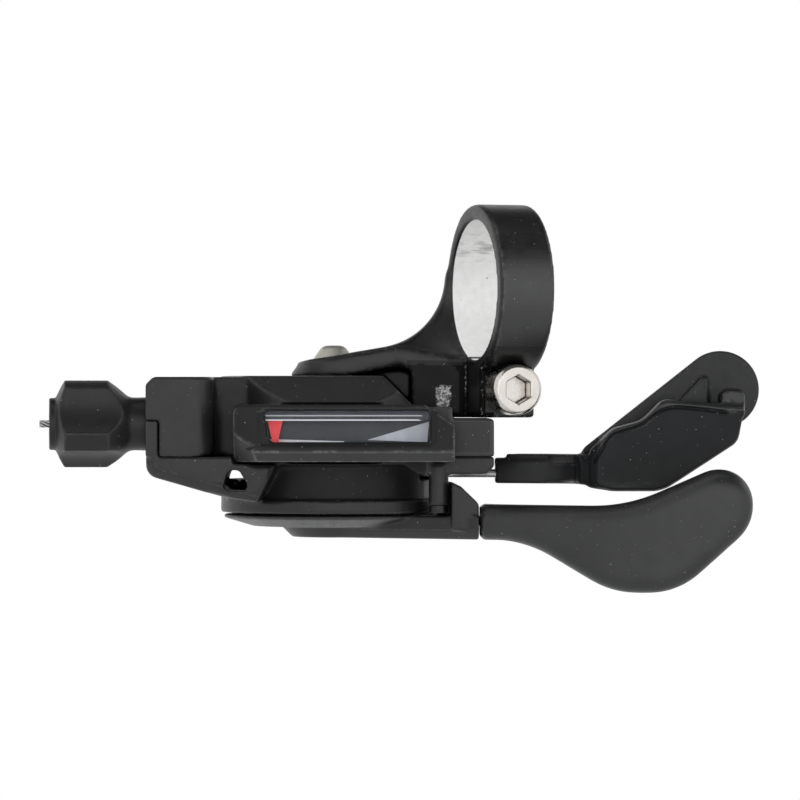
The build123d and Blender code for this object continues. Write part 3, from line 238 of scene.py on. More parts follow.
def bore_wall(t):
    """1 on the turned wall of the bore, which has a radius of 11.1 and a half length of 4."""
    along = t.vector("DOT_PRODUCT", t.place, BORE_AXIS)
    length = t.vector("LENGTH", t.place)
    square = t.math("SUBTRACT", t.math("POWER", length, 2.0), t.math("POWER", along, 2.0))
    radial = t.math("SQRT", square, 0.0)
    ends = t.ramp(t.math("ABSOLUTE", along, 0.0), 4.0, 3.92)
    return t.times(t.ramp(radial, 11.32, 11.24), ends)


def cast_paint(t, x, z):
    """Colour of the black paint: dust, rims turned pale partly from rubbing and partly as painted
    highlight, and chips at the bolt.
    """
    cloud = t.ramp(t.noise(0.2, detail=4.0), 0.35, 0.7)
    paint = t.mix(cloud, (0.003, 0.003, 0.0032), (0.0055, 0.0055, 0.0057))
    fleck = t.math("MAXIMUM", t.specks(1.0, 0.1, 0.3), t.specks(2.0, 0.12, 0.12))
    paint = t.mix(t.times(fleck, 0.5), paint, DUST_ON_PAINT)
    # Pale rims, partly wear and partly painted highlight
    rim = t.attribute("wear_and_highlight")
    worn_and_lit = t.times(rim, t.ramp(t.noise(0.9, detail=5.0, roughness=0.7), 0.5, 0.72))
    paint = t.mix(t.times(worn_and_lit, 0.3), paint, (0.3, 0.29, 0.27))
    near_bolt = t.times(t.ramp(x, -9.0, -7.5), t.ramp(z, -11.5, -13.0))
    chip = t.times(rim, t.ramp(t.noise(1.6, detail=4.0, roughness=0.7), 0.56, 0.6))
    return t.mix(t.times(chip, near_bolt), paint, (0.62, 0.61, 0.58))


def bore_colour(t, z):
    """Colour of the bore's bright wall: a darker streak near its top, and a few dark specks."""
    lay = t.mapped(t.place, (0.35, 0.35, 2.2))
    streak = t.ramp(t.noise(0.8, detail=4.0, roughness=0.65, vector=lay), 0.5, 0.66)
    streak = t.times(streak, t.band(z, 4.0, 6.5, 8.0, 9.5))
    cloud = t.ramp(t.noise(0.9, detail=4.0, roughness=0.6), 0.3, 0.7)
    turned = t.mix(cloud, (0.84, 0.825, 0.81), (0.93, 0.92, 0.905))
    turned = t.mix(t.times(streak, 0.7), turned, (0.3, 0.3, 0.295))
    return t.mix(t.specks(0.5, 0.12, 0.2), turned, (0.12, 0.11, 0.1))


def painted_casting(name, gloss):
    """Black paint over a casting, with a bare rough patch and a bare bright bore."""
    t = Tree(name)
    split = t.nodes.new("ShaderNodeSeparateXYZ")
    t.links.new(t.place, split.inputs["Vector"])
    x, z = split.outputs["X"], split.outputs["Z"]
    patch, bore = cast_patch(t, x, z), bore_wall(t)
    crystals = t.ramp(t.noise(3.0, detail=4.0, roughness=0.75), 0.44, 0.58)
    bare = t.mix(crystals, (0.07, 0.07, 0.07), (0.46, 0.455, 0.45))
    colour = t.mix(patch, cast_paint(t, x, z), bare)
    colour = t.mix(bore, colour, bore_colour(t, z))
    roughness = t.ramp(t.noise(0.6, detail=4.0), 0.3, 0.75, 0.34, 0.46)
    roughness = t.math("ADD", roughness, t.times(bore, 0.1))
    orange_peel = t.times(t.noise(2.2, detail=2.0), 0.2)
    t.bump(t.math("ADD", orange_peel, t.times(patch, crystals)), 0.25, 0.00008)
    shine = t.math("MAXIMUM", patch, t.times(bore, 0.1))
    return t.set(Base_Color=colour, Roughness=roughness, Metallic=shine, Specular_IOR_Level=gloss)


def tinted(name, tone, rough, scale):
    """Even colour with slight mottling, for mouldings, prints and painted highlights."""
    t = Tree(name)
    colour = t.mix(t.ramp(t.noise(scale, detail=4.0), 0.3, 0.7), *tone)
    t.bump(t.noise(5.0), 0.08, 0.00003)
    return t.set(Base_Color=colour, Roughness=t.ramp(t.noise(1.6), 0.3, 0.7, *rough))


def mixed(tree, factor, first, second):
    """A mix of two shaders in a node tree."""
    blend = tree.nodes.new("ShaderNodeMixShader")
    for socket, source in zip(blend.inputs, (factor, first, second)):
        tree.links.new(source, socket)
    return blend.outputs["Shader"]


def clear_lens():
    """Clear acrylic that lets lamps through, with a breath of handling haze."""
    t = Tree("lens_clear")
    tint = t.mix(t.ramp(t.noise(0.6), 0.3, 0.7), (0.95, 0.965, 0.98), (0.98, 0.985, 0.99))
    roughness = t.ramp(t.noise(2.0, detail=4.0), 0.4, 0.8, 0.02, 0.06)
    t.set(Base_Color=tint, Roughness=roughness, Transmission_Weight=1.0, IOR=1.13)
    path = t.nodes.new("ShaderNodeLightPath")
    clear = t.nodes.new("ShaderNodeBsdfTransparent")
    through = t.math("MAXIMUM", path.outputs["Is Shadow Ray"], path.outputs["Is Diffuse Ray"])
    surface = mixed(t.material.node_tree, through, t.shader.outputs["BSDF"], clear.outputs["BSDF"])
    t.links.new(surface, t.nodes["Material Output"].inputs["Surface"])
    return t.material


# Tones of the black plastics
WARM = (0.0115, 0.0113, 0.011), (0.0155, 0.0153, 0.015)
NEUTRAL = (0.0105, 0.0105, 0.0105), (0.0145, 0.0145, 0.0145)
COOL = (0.0125, 0.0127, 0.0135), (0.0175, 0.0177, 0.0187)
DEEP = (0.0095, 0.0098, 0.0106), (0.013, 0.0134, 0.0144)
DEEPEST = (0.0085, 0.0088, 0.0095), (0.0115, 0.0118, 0.0126)
HOUSING_DUST, LEVER_DUST = 0.32, 0.4

body_black = moulded("body_black", WARM, (0.34, 0.43), HOUSING_DUST, gloss=0.38)
# Painted shade: a less glossy copy of the black for the wall beside the block
body_shaded = moulded("body_shaded", WARM, (0.36, 0.46), HOUSING_DUST, gloss=0.27)
knob_black = moulded("knob_black", WARM, (0.34, 0.43), HOUSING_DUST, gloss=0.3)
# Painted shade: a dull copy of the black for the pot's sunk wall
recess_shade_black = moulded("recess_shade_black", NEUTRAL, (0.4, 0.5), HOUSING_DUST, gloss=0.16)
# The bezel's rims turn paler, for wear and for painted highlight lines
bezel_black = moulded("bezel_black", NEUTRAL, (0.4, 0.5), HOUSING_DUST, gloss=0.18, edge=0.9)
# Painted sheen: a glossier copy of the bezel's black for its downward bevel
bezel_sheen = moulded("bezel_sheen", NEUTRAL, (0.36, 0.45), HOUSING_DUST, gloss=0.55, edge=0.9)
lever_black = moulded("lever_black", COOL, (0.34, 0.43), LEVER_DUST)
release_black = moulded("release_black", DEEP, (0.4, 0.5), LEVER_DUST, gloss=0.16)
release_satin = moulded("release_satin", DEEP, (0.38, 0.48), LEVER_DUST, gloss=0.36)
# Painted shade: a darker, less glossy copy for the bend from the arm into the pad
release_shade = moulded("release_shade", DEEPEST, (0.42, 0.52), LEVER_DUST, gloss=0.06)
bracket_black = painted_casting("bracket_black", 0.5)
# Less glossy copies of the bracket's paint are painted shade on the pillar and ears; a glossier copy is a
# painted sheen on the band
bracket_half_shade = painted_casting("bracket_half_shade", 0.3)
bracket_shade = painted_casting("bracket_shade", 0.15)
bracket_deep_shade = painted_casting("bracket_deep_shade", 0.04)
bracket_sheen = painted_casting("bracket_sheen", 0.8)
nickel = metal("nickel", ((0.56, 0.53, 0.49), (0.64, 0.605, 0.565)), (0.2, 0.3), corner_shade=0.9)
zinc = metal("zinc", ((0.52, 0.51, 0.46), (0.62, 0.61, 0.55)), (0.46, 0.6))
plate = metal("plate", ((0.52, 0.52, 0.51), (0.66, 0.66, 0.65)), (0.28, 0.42), grain=(0.4, 4.0, 4.0))
black_steel = metal("black_steel", ((0.03, 0.03, 0.03), (0.05, 0.05, 0.05)), (0.35, 0.5))
wire = metal("wire", ((0.36, 0.36, 0.36), (0.5, 0.5, 0.49)), (0.25, 0.4))
drum_white = tinted("drum_white", ((0.70, 0.69, 0.64), (0.78, 0.77, 0.73)), (0.4, 0.55), 0.4)
flag_red = tinted("flag_red", ((0.95, 0.04, 0.05), (1.0, 0.05, 0.06)), (0.35, 0.5), 1.2)
scale_dark = tinted("scale_dark", ((0.024, 0.029, 0.038), (0.035, 0.041, 0.053)), (0.4, 0.55), 0.35)
# White for the range print, and for the lens's painted highlight strips
print_and_highlight_white = tinted("print_and_highlight_white", ((0.80, 0.81, 0.83), (0.88, 0.885, 0.9)), (0.5, 0.65), 1.5)
print_grey = tinted("print_grey", ((0.50, 0.53, 0.58), (0.68, 0.71, 0.76)), (0.5, 0.65), 0.25)
lens_clear = clear_lens()

# Refined copies of the solids: fine meshes whose edges are worn round
WELD = 2e-6  # metres
EDGE_SPACING = 0.2
EDGE_GAIN = 1.6
PULL = 0.6
FLAT = math.radians(0.25)


def sharp_points(mesh, sharp, soft):
    """Points along the sharp edges of a mesh, each with the radius that the edge is rounded to."""
    bm = bmesh.new()
    bm.from_mesh(mesh)
    bmesh.ops.remove_doubles(bm, verts=bm.verts, dist=WELD)
    bmesh.ops.recalc_face_normals(bm, faces=bm.faces)
    points = []
    for edge in bm.edges:
        if len(edge.link_faces) == 2 and edge.calc_face_angle(0.0) > math.radians(sharp):
            start, end = (v.co for v in edge.verts)
            count = max(1, math.ceil(edge.calc_length() / (EDGE_SPACING * MM)))
            for i in range(count + 1):
                place = start.lerp(end, i / count)
                points.append((place, soft(place / MM), edge.is_convex))
    tree = BVHTree.FromBMesh(bm)
    bm.free()
    near = KDTree(len(points))
    for i, (place, _, _) in enumerate(points):
        near.insert(place, i)
    near.balance()
    return points, near, tree


def fine_mesh(source, voxel):
    """An even voxel mesh of a node's solid."""
    holder = bpy.data.objects.new("holder", source.data)
    scene.collection.objects.link(holder)
    remesh = holder.modifiers.new("fine", "REMESH")
    remesh.mode = "VOXEL"
    remesh.voxel_size = voxel * MM
    graph = bpy.context.evaluated_depsgraph_get()
    mesh = bpy.data.meshes.new_from_object(holder.evaluated_get(graph))
    bpy.data.objects.remove(holder)
    return mesh


def refined(
    node, voxel, soft, materials, zone=None, rounds=6, sharp=24.0, shape=None,
    melt=None, melt_rounds=40, carve=None, wear_and_highlight=0.35,
):
    """A piece that stands for a node: a fine mesh on the node's faces with rounded edges.

    soft is the reach of the rounding, or a function that gives it for a place. zone gives a face's
    material for its x, y, z and normal, where there are several. Edges that turn by more than sharp, in
    degrees, are rounded. shape moves the points. melt gives their share, 0 to 1, in a second, longer
    smoothing, and carve moves them after it. The rounded rims carry a value for pale rims, from rubbing
    and painted highlight, over a share of their reach, and the inner corners a value for painted shade.
    """
    source = frame["nodes"][node]
    reach = soft if callable(soft) else lambda place: soft
    pale_rim_share = wear_and_highlight if callable(wear_and_highlight) else lambda place: wear_and_highlight
    points, near, tree = sharp_points(source.data, sharp, reach)
    mesh = fine_mesh(source, voxel)

    # Points are laid on the solid's faces; those near a sharp edge are free to move
    count = len(mesh.vertices)
    spots = np.empty(count * 3, dtype=np.float32)
    mesh.vertices.foreach_get("co", spots)
    spots = spots.reshape(-1, 3).astype(np.float64)
    free, worn_and_lit, corner_shade = np.zeros(count), np.zeros(count), np.zeros(count)
    for i in range(count):
        place = Vector(spots[i])
        _, index, distance = near.find(place)
        edge_place, radius, convex = points[index]
        radius *= MM
        spots[i] = tree.find_nearest(place)[0]
        free[i] = min(1.0, max(0.0, EDGE_GAIN * (1.0 - distance / radius)))
        # Convex rims get a value for wear and painted highlight, inner corners one for painted shade
        if convex:
            worn_and_lit[i] = max(0.0, 1.0 - distance / max(1e-9, pale_rim_share(edge_place / MM) * radius))
        else:
            corner_shade[i] = max(0.0, 1.0 - distance / radius)
    if shape:
        spots = np.stack(shape(*(spots.T / MM)), axis=1) * MM

    # Smoothing: each point moves towards the mean of its neighbours
    pairs = np.empty(len(mesh.edges) * 2, dtype=np.int32)
    mesh.edges.foreach_get("vertices", pairs)
    one, two = pairs.reshape(-1, 2).T
    degree = np.bincount(pairs, minlength=count)[:, None]
    passes = [(free, rounds)]
    if melt:
        passes.append((melt(*(spots.T / MM)), melt_rounds))
    for share, times in passes:
        for _ in range(times):
            total = np.zeros_like(spots)
            for axis in range(3):
                total[:, axis] = np.bincount(one, spots[two, axis], count)
                total[:, axis] += np.bincount(two, spots[one, axis], count)
            spots += PULL * share[:, None] * (total / degree - spots)
    if carve:
        spots = np.stack(carve(*(spots.T / MM)), axis=1) * MM
    mesh.vertices.foreach_set("co", spots.astype(np.float32).ravel())

    for name, value in (("wear_and_highlight", worn_and_lit), ("corner_shade", corner_shade)):
        attribute = mesh.attributes.new(name, "FLOAT", "POINT")
        attribute.data.foreach_set("value", value.astype(np.float32))
    bm = bmesh.new()
    bm.from_mesh(mesh)
    bmesh.ops.dissolve_limit(bm, angle_limit=FLAT, verts=bm.verts, edges=bm.edges)
    for face in bm.faces:
        face.smooth = True
    bm.to_mesh(mesh)
    bm.free()
    mesh.materials.clear()
    for material in materials:
        mesh.materials.append(material)
    if zone:
        order = {material.name: i for i, material in enumerate(materials)}
        for polygon in mesh.polygons:
            polygon.material_index = order[zone(*(polygon.center / MM), polygon.normal).name]
    mesh.name = f"{node}_skin"
    piece = bpy.data.objects.new(f"{node}_skin", mesh)
    scene.collection.objects.link(piece)
    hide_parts(node)
    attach(piece, source["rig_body"])


def step(value, low, high):
    """Smooth step from 0 at low to 1 at high."""
    t = np.clip((value - low) / (high - low), 0.0, 1.0)
    return t * t * (3.0 - 2.0 * t)


def round_corner(x, z, corner, radius, side):
    """Points near the corner of an outline in the x-z plane, moved onto a round corner."""
    dx = (x - corner[0]) * side[0] + radius
    dz = (z - corner[1]) * side[1] + radius
    near = (dx > 0.0) & (dz > 0.0)
    share = np.where(near, np.maximum(dx, dz) / np.maximum(np.hypot(dx, dz), 1e-6), 1.0)
    x = np.where(near, corner[0] + side[0] * (dx * share - radius), x)
    z = np.where(near, corner[1] + side[1] * (dz * share - radius), z)
    return x, z


# Upper cover and lower housing
def cover_melt(x, y, z):
    """The adjuster block flows into the round cover."""
    across = step(x, -47.5, -45.8) * step(x, -42.5, -44.2)
    return across * step(y, 2.0, -1.0) * step(z, -14.6, -16.0)


def cover_zone(x, y, z, normal):
    """Painted shade: the wall left of the display, in shade beside the block and the bezel, gets a less
    glossy copy of the black. Painted sheen: the lug on the right gets the levers' glossier, cooler black.
    """
    if -46.2 < x < -36.0 and y < 0.0 and z < -14.2:
        return body_shaded
    return lever_black if x > -8.0 else body_black


def housing_melt(x, y, z):
    """The web flows into the round pot."""
    across = step(x, -40.0, -38.0) * step(x, -32.5, -34.5)
    web = across * step(z, -33.6, -32.6) * step(y, -4.0, -6.0)
    foot = step(np.hypot(x + 44.1, z + 32.2), 2.2, 0.8)
    return np.maximum(web, foot)


def housing_zone(x, y, z, normal):
    """Painted shade: the sunk wall of the pot, in shade under the bezel, gets a dull copy of the black."""
    sunk = -36.5 < x < -12.0 and y < 0.0 and -33.4 < z < -26.5
    return recess_shade_black if sunk else body_black


# Bezel: x and z of the recess round the lens
RECESS_CENTRE, RECESS_HALF, RECESS_CORNER = (-23.97, -21.68), (13.97, 3.01), 1.3
RECESS_DEPTH = 0.32
WINDOW_TOP, WINDOW_LEAN, MOST_LEAN = -19.2, 0.32, 1.45


def window_lean(x, z):
    """Sideways shift of the window's left end, which leans right towards its foot."""
    shift = np.clip((WINDOW_TOP - z) * WINDOW_LEAN, 0.0, MOST_LEAN)
    across = step(x, -41.0, -38.4) * step(x, -32.0, -36.0)
    return shift * across * step(z, -25.4, -24.3) * step(z, -18.2, -18.8)


def bezel_shape(x, y, z):
    """Leaning window end, a soft recess round the lens and rounded left corners."""
    x = x + window_lean(x, z)
    dx = np.abs(x - RECESS_CENTRE[0]) - RECESS_HALF[0] + RECESS_CORNER
    dz = np.abs(z - RECESS_CENTRE[1]) - RECESS_HALF[1] + RECESS_CORNER
    outside = np.hypot(np.maximum(dx, 0.0), np.maximum(dz, 0.0))
    outside = outside + np.minimum(np.maximum(dx, dz), 0.0) - RECESS_CORNER
    y = y + RECESS_DEPTH * step(outside, 0.1, -0.4) * step(y, -13.9, -14.3)
    low, high = (np.array(c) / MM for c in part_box("display_bezel"))
    x, z = round_corner(x, z, (low[0], high[2]), 1.5, (-1, 1))
    x, z = round_corner(x, z, (low[0], low[2]), 0.9, (-1, -1))
    return x, y, z


def bezel_wear_and_highlight(place):
    """Outer edges turned pale partly from rubbing and partly as painted highlight lines, and a window rim
    without that.
    """
    at_window = -39.4 < place.x < -9.8 and -25.2 < place.z < -18.55
    return 0.0 if at_window else 0.7


def bezel_zone(x, y, z, normal):
    """Painted sheen: the bevel along the foot, which faces down, gets a glossier copy of the black."""
    return bezel_sheen if normal.z < -0.3 and normal.y < -0.2 else bezel_black


# Clamp bracket
def bracket_shape(x, y, z):
    """Slanted left end of the arm."""
    return x + step(x, -29.5, -33.0) * (0.75 - 1.15 * step(z, -11.6, -13.6)), y, z


def bracket_softness(place):
    """Soft arm, crisper clamp band."""
    return 1.3 if place.x < -9.5 else 0.7


def bracket_melt(x, y, z):
    """The arm's crest flows into the band."""
    return step(x, -31.0, -27.0) * step(x, -5.5, -8.5) * step(z, -13.2, -11.4)


def bracket_zone(x, y, z, normal):
    """Painted shade: the paint's gloss drops in steps down the pillar and the ears, which lie in shade, and
    a glossier copy paints a sheen on the band's outside.
    """
    steps = (-11.2, -11.9) if x < -8.2 else (-10.6, -11.3, -12.0)
    if -14.5 < x < -1.0 and z < steps[0]:
        shade_steps = (bracket_half_shade, bracket_shade, bracket_deep_shade)
        return shade_steps[sum(z < edge for edge in steps) - 1]
    if z > -9.0 and x > -6.0 and abs(normal.dot(BORE_AXIS)) < 0.5:
        return bracket_sheen
    return bracket_black


# Adjuster knob
def knob_melt(x, y, z):
    """The knob's cone runs out into its neck."""
    return step(x, -60.0, -58.9) * step(x, -56.0, -57.4)


# Release lever
def path_distance(x, z, path):
    """Distance of points from a broken line in the x-z plane."""
    best = np.full_like(x, np.inf)
    for (ax, az), (bx, bz) in zip(path, path[1:]):
        dx, dz = bx - ax, bz - az
        t = np.clip(((x - ax) * dx + (z - az) * dz) / (dx * dx + dz * dz), 0.0, 1.0)
        best = np.minimum(best, np.hypot(x - ax - t * dx, z - az - t * dz))
    return best


def rounded_path(path, times=2):
    """A broken line with its corners cut, so that it runs smoothly."""
    for _ in range(times):
        cut = [path[0]]
        for (ax, az), (bx, bz) in zip(path, path[1:]):
            cut.append((0.75 * ax + 0.25 * bx, 0.75 * az + 0.25 * bz))
            cut.append((0.25 * ax + 0.75 * bx, 0.25 * az + 0.75 * bz))
        path = cut + [path[-1]]
    return path


GROOVE = rounded_path([
    (14.6, -27.2), (15.2, -26.1), (16.9, -22.9), (18.6, -22.3), (21.5, -21.5), (23.5, -19.9),
    (25.1, -18.9), (27.0, -18.5), (29.5, -18.65), (33.3, -19.1), (35.0, -19.3),
])
GROOVE_X, GROOVE_Z = zip(*GROOVE)
GROOVE_DEPTH, GROOVE_WIDTH = 0.6, 0.2
RIM_FACE, SKIN_FACE = -10.7, -12.0  # y of the front pad's rim and of its skin
ARM_FACE = (-1.66, -0.362)  # y at x = 0 and its rise per mm
BEND_START = -4.7  # y where the bend from the arm to the pad begins


def release_shape(x, y, z):
    """The skin of the front pad runs out to its edges, and into the arm."""
    # The rim comes forward to the skin, apart from the bridge to the far pad, and the arm gets a bevel
    bridge = step(x, 33.3, 34.3) * step(z, -18.6, -18.0)
    target = RIM_FACE + (SKIN_FACE - RIM_FACE) * step(x, 12.0, 16.0) * (1.0 - bridge)
    face = np.where(x < 8.0, ARM_FACE[0] + ARM_FACE[1] * x, RIM_FACE)
    in_front = np.clip(1.0 - (y - face) / 1.8, 0.0, 1.0)
    bevel = step(z, -27.5, -26.2) * step(x, 14.0, 11.0) * in_front
    y = np.where(y < RIM_FACE + 0.2, np.minimum(y, target), y) + 0.8 * bevel
    # The pad's left wall leans, so that the arm bends into the pad
    bend = (x > 7.2) & (y < -4.9)
    forward = np.clip((y - BEND_START) / (RIM_FACE - BEND_START), 0.0, 1.0) ** 0.6
    x = x + np.where(bend, 5.0 * forward * np.clip((14.0 - x) / 6.0, 0.0, 1.0), 0.0)
    # The low step at the arm's left end rises towards the arm's top
    top = z[(x > 2.0) & (x < 6.0)].max()
    raised = z + 0.55 * step(z, -26.6, -26.1) * step(x, -0.75, -0.1) * step(x, 1.8, 1.4)
    return x, y, np.minimum(raised, np.maximum(z, top))


def release_melt(x, y, z):
    """Soft bead along the upper rim of the front pad, and a soft bend from the arm to the pad."""
    bead = step(path_distance(x, z, GROOVE), 1.5, 0.9) * step(y, -8.0, -9.0)
    bend = step(x, 5.5, 8.0) * step(x, 18.0, 15.5) * step(y, -3.6, -4.6) * step(z, -25.2, -25.9)
    return np.maximum(bead, bend)


def release_groove(x, y, z):
    """Narrow groove under that bead."""
    near = path_distance(x, z, GROOVE)
    return x, y + GROOVE_DEPTH * np.exp(-(near / GROOVE_WIDTH) ** 2) * step(y, -10.8, -11.4), z


def release_zone(x, y, z, normal):
    """A satin arm and far pad, painted shade on the bend from the arm into the pad by a darker, less glossy
    copy, and a bead with the thumb lever's gloss.
    """
    if x < 11.5 or (y > -8.8 and x > 16.5):
        return release_satin
    if 11.5 < x < 15.0 and y < -5.5:
        return release_shade
    if x > 15.5 and z > np.interp(x, GROOVE_X, GROOVE_Z) + 0.2:
        return lever_black
    return release_black


# Thumb lever
CELL = 0.6
ROLL_HEIGHT, ROLL_DEPTH = 2.8, 1.3


def paddle_shape(x, y, z):
    """The upper edge of the paddle rolls back, and its root meets the rib."""
    root = x.min()
    cell = ((x - root) / CELL).astype(int)
    cells = cell.max() + 1
    crest, face, back = (np.full(cells, start) for start in (-99.0, 99.0, -99.0))
    np.maximum.at(crest, cell, z)
    np.minimum.at(face, cell, y)
    np.maximum.at(back, cell, y)
    centres = root + CELL * (np.arange(cells) + 0.5)
    crest, face, back = (np.interp(x, centres, values) for values in (crest, face, back))
    high = np.clip(1.0 - (crest - z) / ROLL_HEIGHT, 0.0, 1.0) ** 2
    roll = high * np.clip((back - y) / (back - face), 0.0, 1.0)
    y = y + ROLL_DEPTH * roll * step(x, root + 0.5, root + 4.0)
    return x - 0.2 * step(x, root + 1.5, root), y, z


def paddle_softness(place):
    """A crisp root, and a paddle with full round edges."""
    return 0.5 + 2.5 * min(1.0, max(0.0, (place.x + 1.5) / 4.0))


# Each skin has a voxel size, a reach of the rounding and its materials
refined("upper_cover", 0.25, 0.6, [body_black, body_shaded, lever_black], cover_zone, melt=cover_melt)
refined("lower_housing", 0.25, 0.6, [body_black, recess_shade_black], housing_zone, melt=housing_melt)
refined(
    "display_bezel", 0.16, 0.5, [bezel_black, bezel_sheen], bezel_zone,
    sharp=15.0, shape=bezel_shape, wear_and_highlight=bezel_wear_and_highlight,
)
refined("inner_hole_cap", 0.16, 0.4, [body_black])
refined("main_lever_cover", 0.25, 0.6, [body_black])
refined("main_lever_pad", 0.3, paddle_softness, [lever_black], rounds=36, shape=paddle_shape, wear_and_highlight=0.0)
refined(
    "release_lever_pad", 0.2, 0.8, [release_black, lever_black, release_satin, release_shade], release_zone,
    rounds=8, shape=release_shape, melt=release_melt, melt_rounds=25, carve=release_groove, wear_and_highlight=0.2,
)
refined("adjuster_knob", 0.2, 0.4, [knob_black], rounds=3, melt=knob_melt, melt_rounds=30)
refined("clamp_bolt", 0.12, 0.4, [nickel])
refined("main_axle", 0.2, 0.5, [zinc])
refined("release_lever_plate", 0.2, 0.3, [plate])
refined("axle_nut", 0.2, 0.4, [nickel])
refined(
    "clamp_bracket", 0.25, bracket_softness,
    [bracket_black, bracket_half_shade, bracket_shade, bracket_deep_shade, bracket_sheen], bracket_zone,
    shape=bracket_shape, melt=bracket_melt,
)

# The other nodes keep their CAD mesh
plain = {
    "axle_washer": plate,
    "display_lens": lens_clear,
    "scale_plate": scale_dark,
    "indicator_rail": wire,
    "indicator_carriage": flag_red,
    "indicator_flag": flag_red,
    "winding_drum": drum_white,
    "cable_head": wire,
    "drum_spring": wire,
    "ratchet_wheel": plate,
    "base_plate": plate,
    "pivot_bush": plate,
    "position_pawl": plate,
    "position_pawl_pin": plate,
    "position_pawl_spring": wire,
    "feed_pawl": plate,
    "feed_pawl_pin": plate,
    "feed_pawl_spring": wire,
    "housing_screws": black_steel,
    "release_spring": wire,
    "main_lever_plate": plate,
    "main_lever_spring": wire,
    "adjuster_screw": plate,
}
for node, material in plain.items():
    mesh = frame["nodes"][node].data
    if mesh.materials:
        mesh.materials[0] = material
    else:
        mesh.materials.append(material)


def window_strip(name, outline, front, depth, material):
    """A thin strip behind the window, for the prints and the painted highlights: an outline in x and z, the
    y of its front, and its depth.
    """
    mesh = bpy.data.meshes.new(name)
    bm = bmesh.new()
    near = [bm.verts.new((x * MM, front * MM, z * MM)) for x, z in outline]
    far = [bm.verts.new((x * MM, (front + depth) * MM, z * MM)) for x, z in outline]
    bm.faces.new(near)
    bm.faces.new(far[::-1])
    for i in range(len(outline)):
        j = (i + 1) % len(outline)
        bm.faces.new((near[j], near[i], far[i], far[j]))
    bmesh.ops.recalc_face_normals(bm, faces=bm.faces)
    bm.to_mesh(mesh)
    bm.free()
    mesh.materials.append(material)
    piece = bpy.data.objects.new(name, mesh)
    scene.collection.objects.link(piece)
    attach(piece, "housing")


on_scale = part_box("scale_plate")[0][1] / MM - 0.06
lens_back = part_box("display_lens")[1][1] / MM
on_lens = lens_back + 0.002
# Depths of the prints and of the lens strips, two of which are painted highlights
SCALE_PRINT, LENS_STRIP, LENS_HIGHLIGHT_STRIP = 0.058, 0.08, 0.05
window_strip("range_wedge", [(-20.9, -23.67), (-11.5, -24.0), (-11.2, -20.8)], on_scale, SCALE_PRINT, print_grey)
window_strip(
    "range_line", [(-36.2, -24.0), (-24.5, -24.0), (-24.5, -23.86), (-36.2, -23.52)],
    on_scale, SCALE_PRINT, print_and_highlight_white,
)
window_strip(
    "lens_mask", [(-37.5, -20.42), (-11.2, -20.42), (-11.2, -19.1), (-37.2, -19.1)],
    on_lens, LENS_STRIP, scale_dark,
)
# Painted highlights: two thin white strips on the lens stand in for the bright lines that light draws along
# its top bevel
window_strip(
    "lens_highlight_low", [(-36.9, -20.64), (-12.4, -20.64), (-12.9, -20.46), (-37.1, -20.46)],
    on_lens, LENS_STRIP, print_and_highlight_white,
)
window_strip(
    "lens_highlight_high", [(-36.6, -19.98), (-12.2, -19.98), (-12.6, -19.9), (-36.8, -19.9)],
    lens_back - 0.004, LENS_HIGHLIGHT_STRIP, print_and_highlight_white,
)

# Twisted cable: a core and six strands
STRAND_SIDES = 10
RING_SPACING = 0.35
LAY_LENGTH = 6.5


def strand(bm, centre, start, end, offset, phase, radius):
    """A round wire that winds along x at an offset from the cable's axis."""
    count = max(2, round((end - start) / RING_SPACING))
    rings = []
    for i in range(count + 1):
        x = start + (end - start) * i / count
        turn = phase + 2.0 * math.pi * (x - start) / LAY_LENGTH
        y, z = centre[0] + offset * math.cos(turn), centre[1] + offset * math.sin(turn)
        ring = []
        for k in range(STRAND_SIDES):
            angle = 2.0 * math.pi * k / STRAND_SIDES
            side, rise = radius * math.cos(angle), radius * math.sin(angle)
            ring.append(bm.verts.new((x * MM, (y + side) * MM, (z + rise) * MM)))
        rings.append(ring)
    for first, second in zip(rings, rings[1:]):
        for k in range(STRAND_SIDES):
            bm.faces.new((first[k], first[k - 1], second[k - 1], second[k]))
    bm.faces.new(rings[0])
    bm.faces.new(rings[-1][::-1])


low, high = (np.array(c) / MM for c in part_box("inner_cable"))
axis = ((low[1] + high[1]) / 2, (low[2] + high[2]) / 2)
half = min(high[1] - low[1], high[2] - low[2]) / 2
bm = bmesh.new()
strand(bm, axis, low[0], high[0], 0.0, 0.0, half * 0.36)
for k in range(6):
    strand(bm, axis, low[0], high[0], half * 0.66, math.pi * k / 3, half * 0.34)
bmesh.ops.recalc_face_normals(bm, faces=bm.faces)
for face in bm.faces:
    face.smooth = len(face.verts) == 4
mesh = bpy.data.meshes.new("inner_cable_strands")
bm.to_mesh(mesh)
bm.free()
mesh.materials.append(wire)
cable = bpy.data.objects.new("inner_cable_strands", mesh)
scene.collection.objects.link(cable)
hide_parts("inner_cable")
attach(cable, frame["nodes"]["inner_cable"]["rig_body"])

# Camera, light and floor, in metres
camera_data = bpy.data.cameras.new("camera")
camera_data.lens = 198.8
camera_data.sensor_width = 36.0
camera_data.clip_start = 0.05
camera_data.clip_end = 50.0
camera = bpy.data.objects.new("camera", camera_data)
camera.location = Vector((-15.75, -700.0, -17.43)) * MM
camera.rotation_euler = (math.pi / 2, 0.0, 0.0)
scene.collection.objects.link(camera)
scene.camera = camera
MIDDLE = Vector((-0.016, 0.0, -0.02))


def add_node(tree, kind, **inputs):
    """A new node with these values on its inputs."""
    node = tree.nodes.new(kind)
    for key, value in inputs.items():
        node.inputs[key.replace("_", " ")].default_value = value
    return node


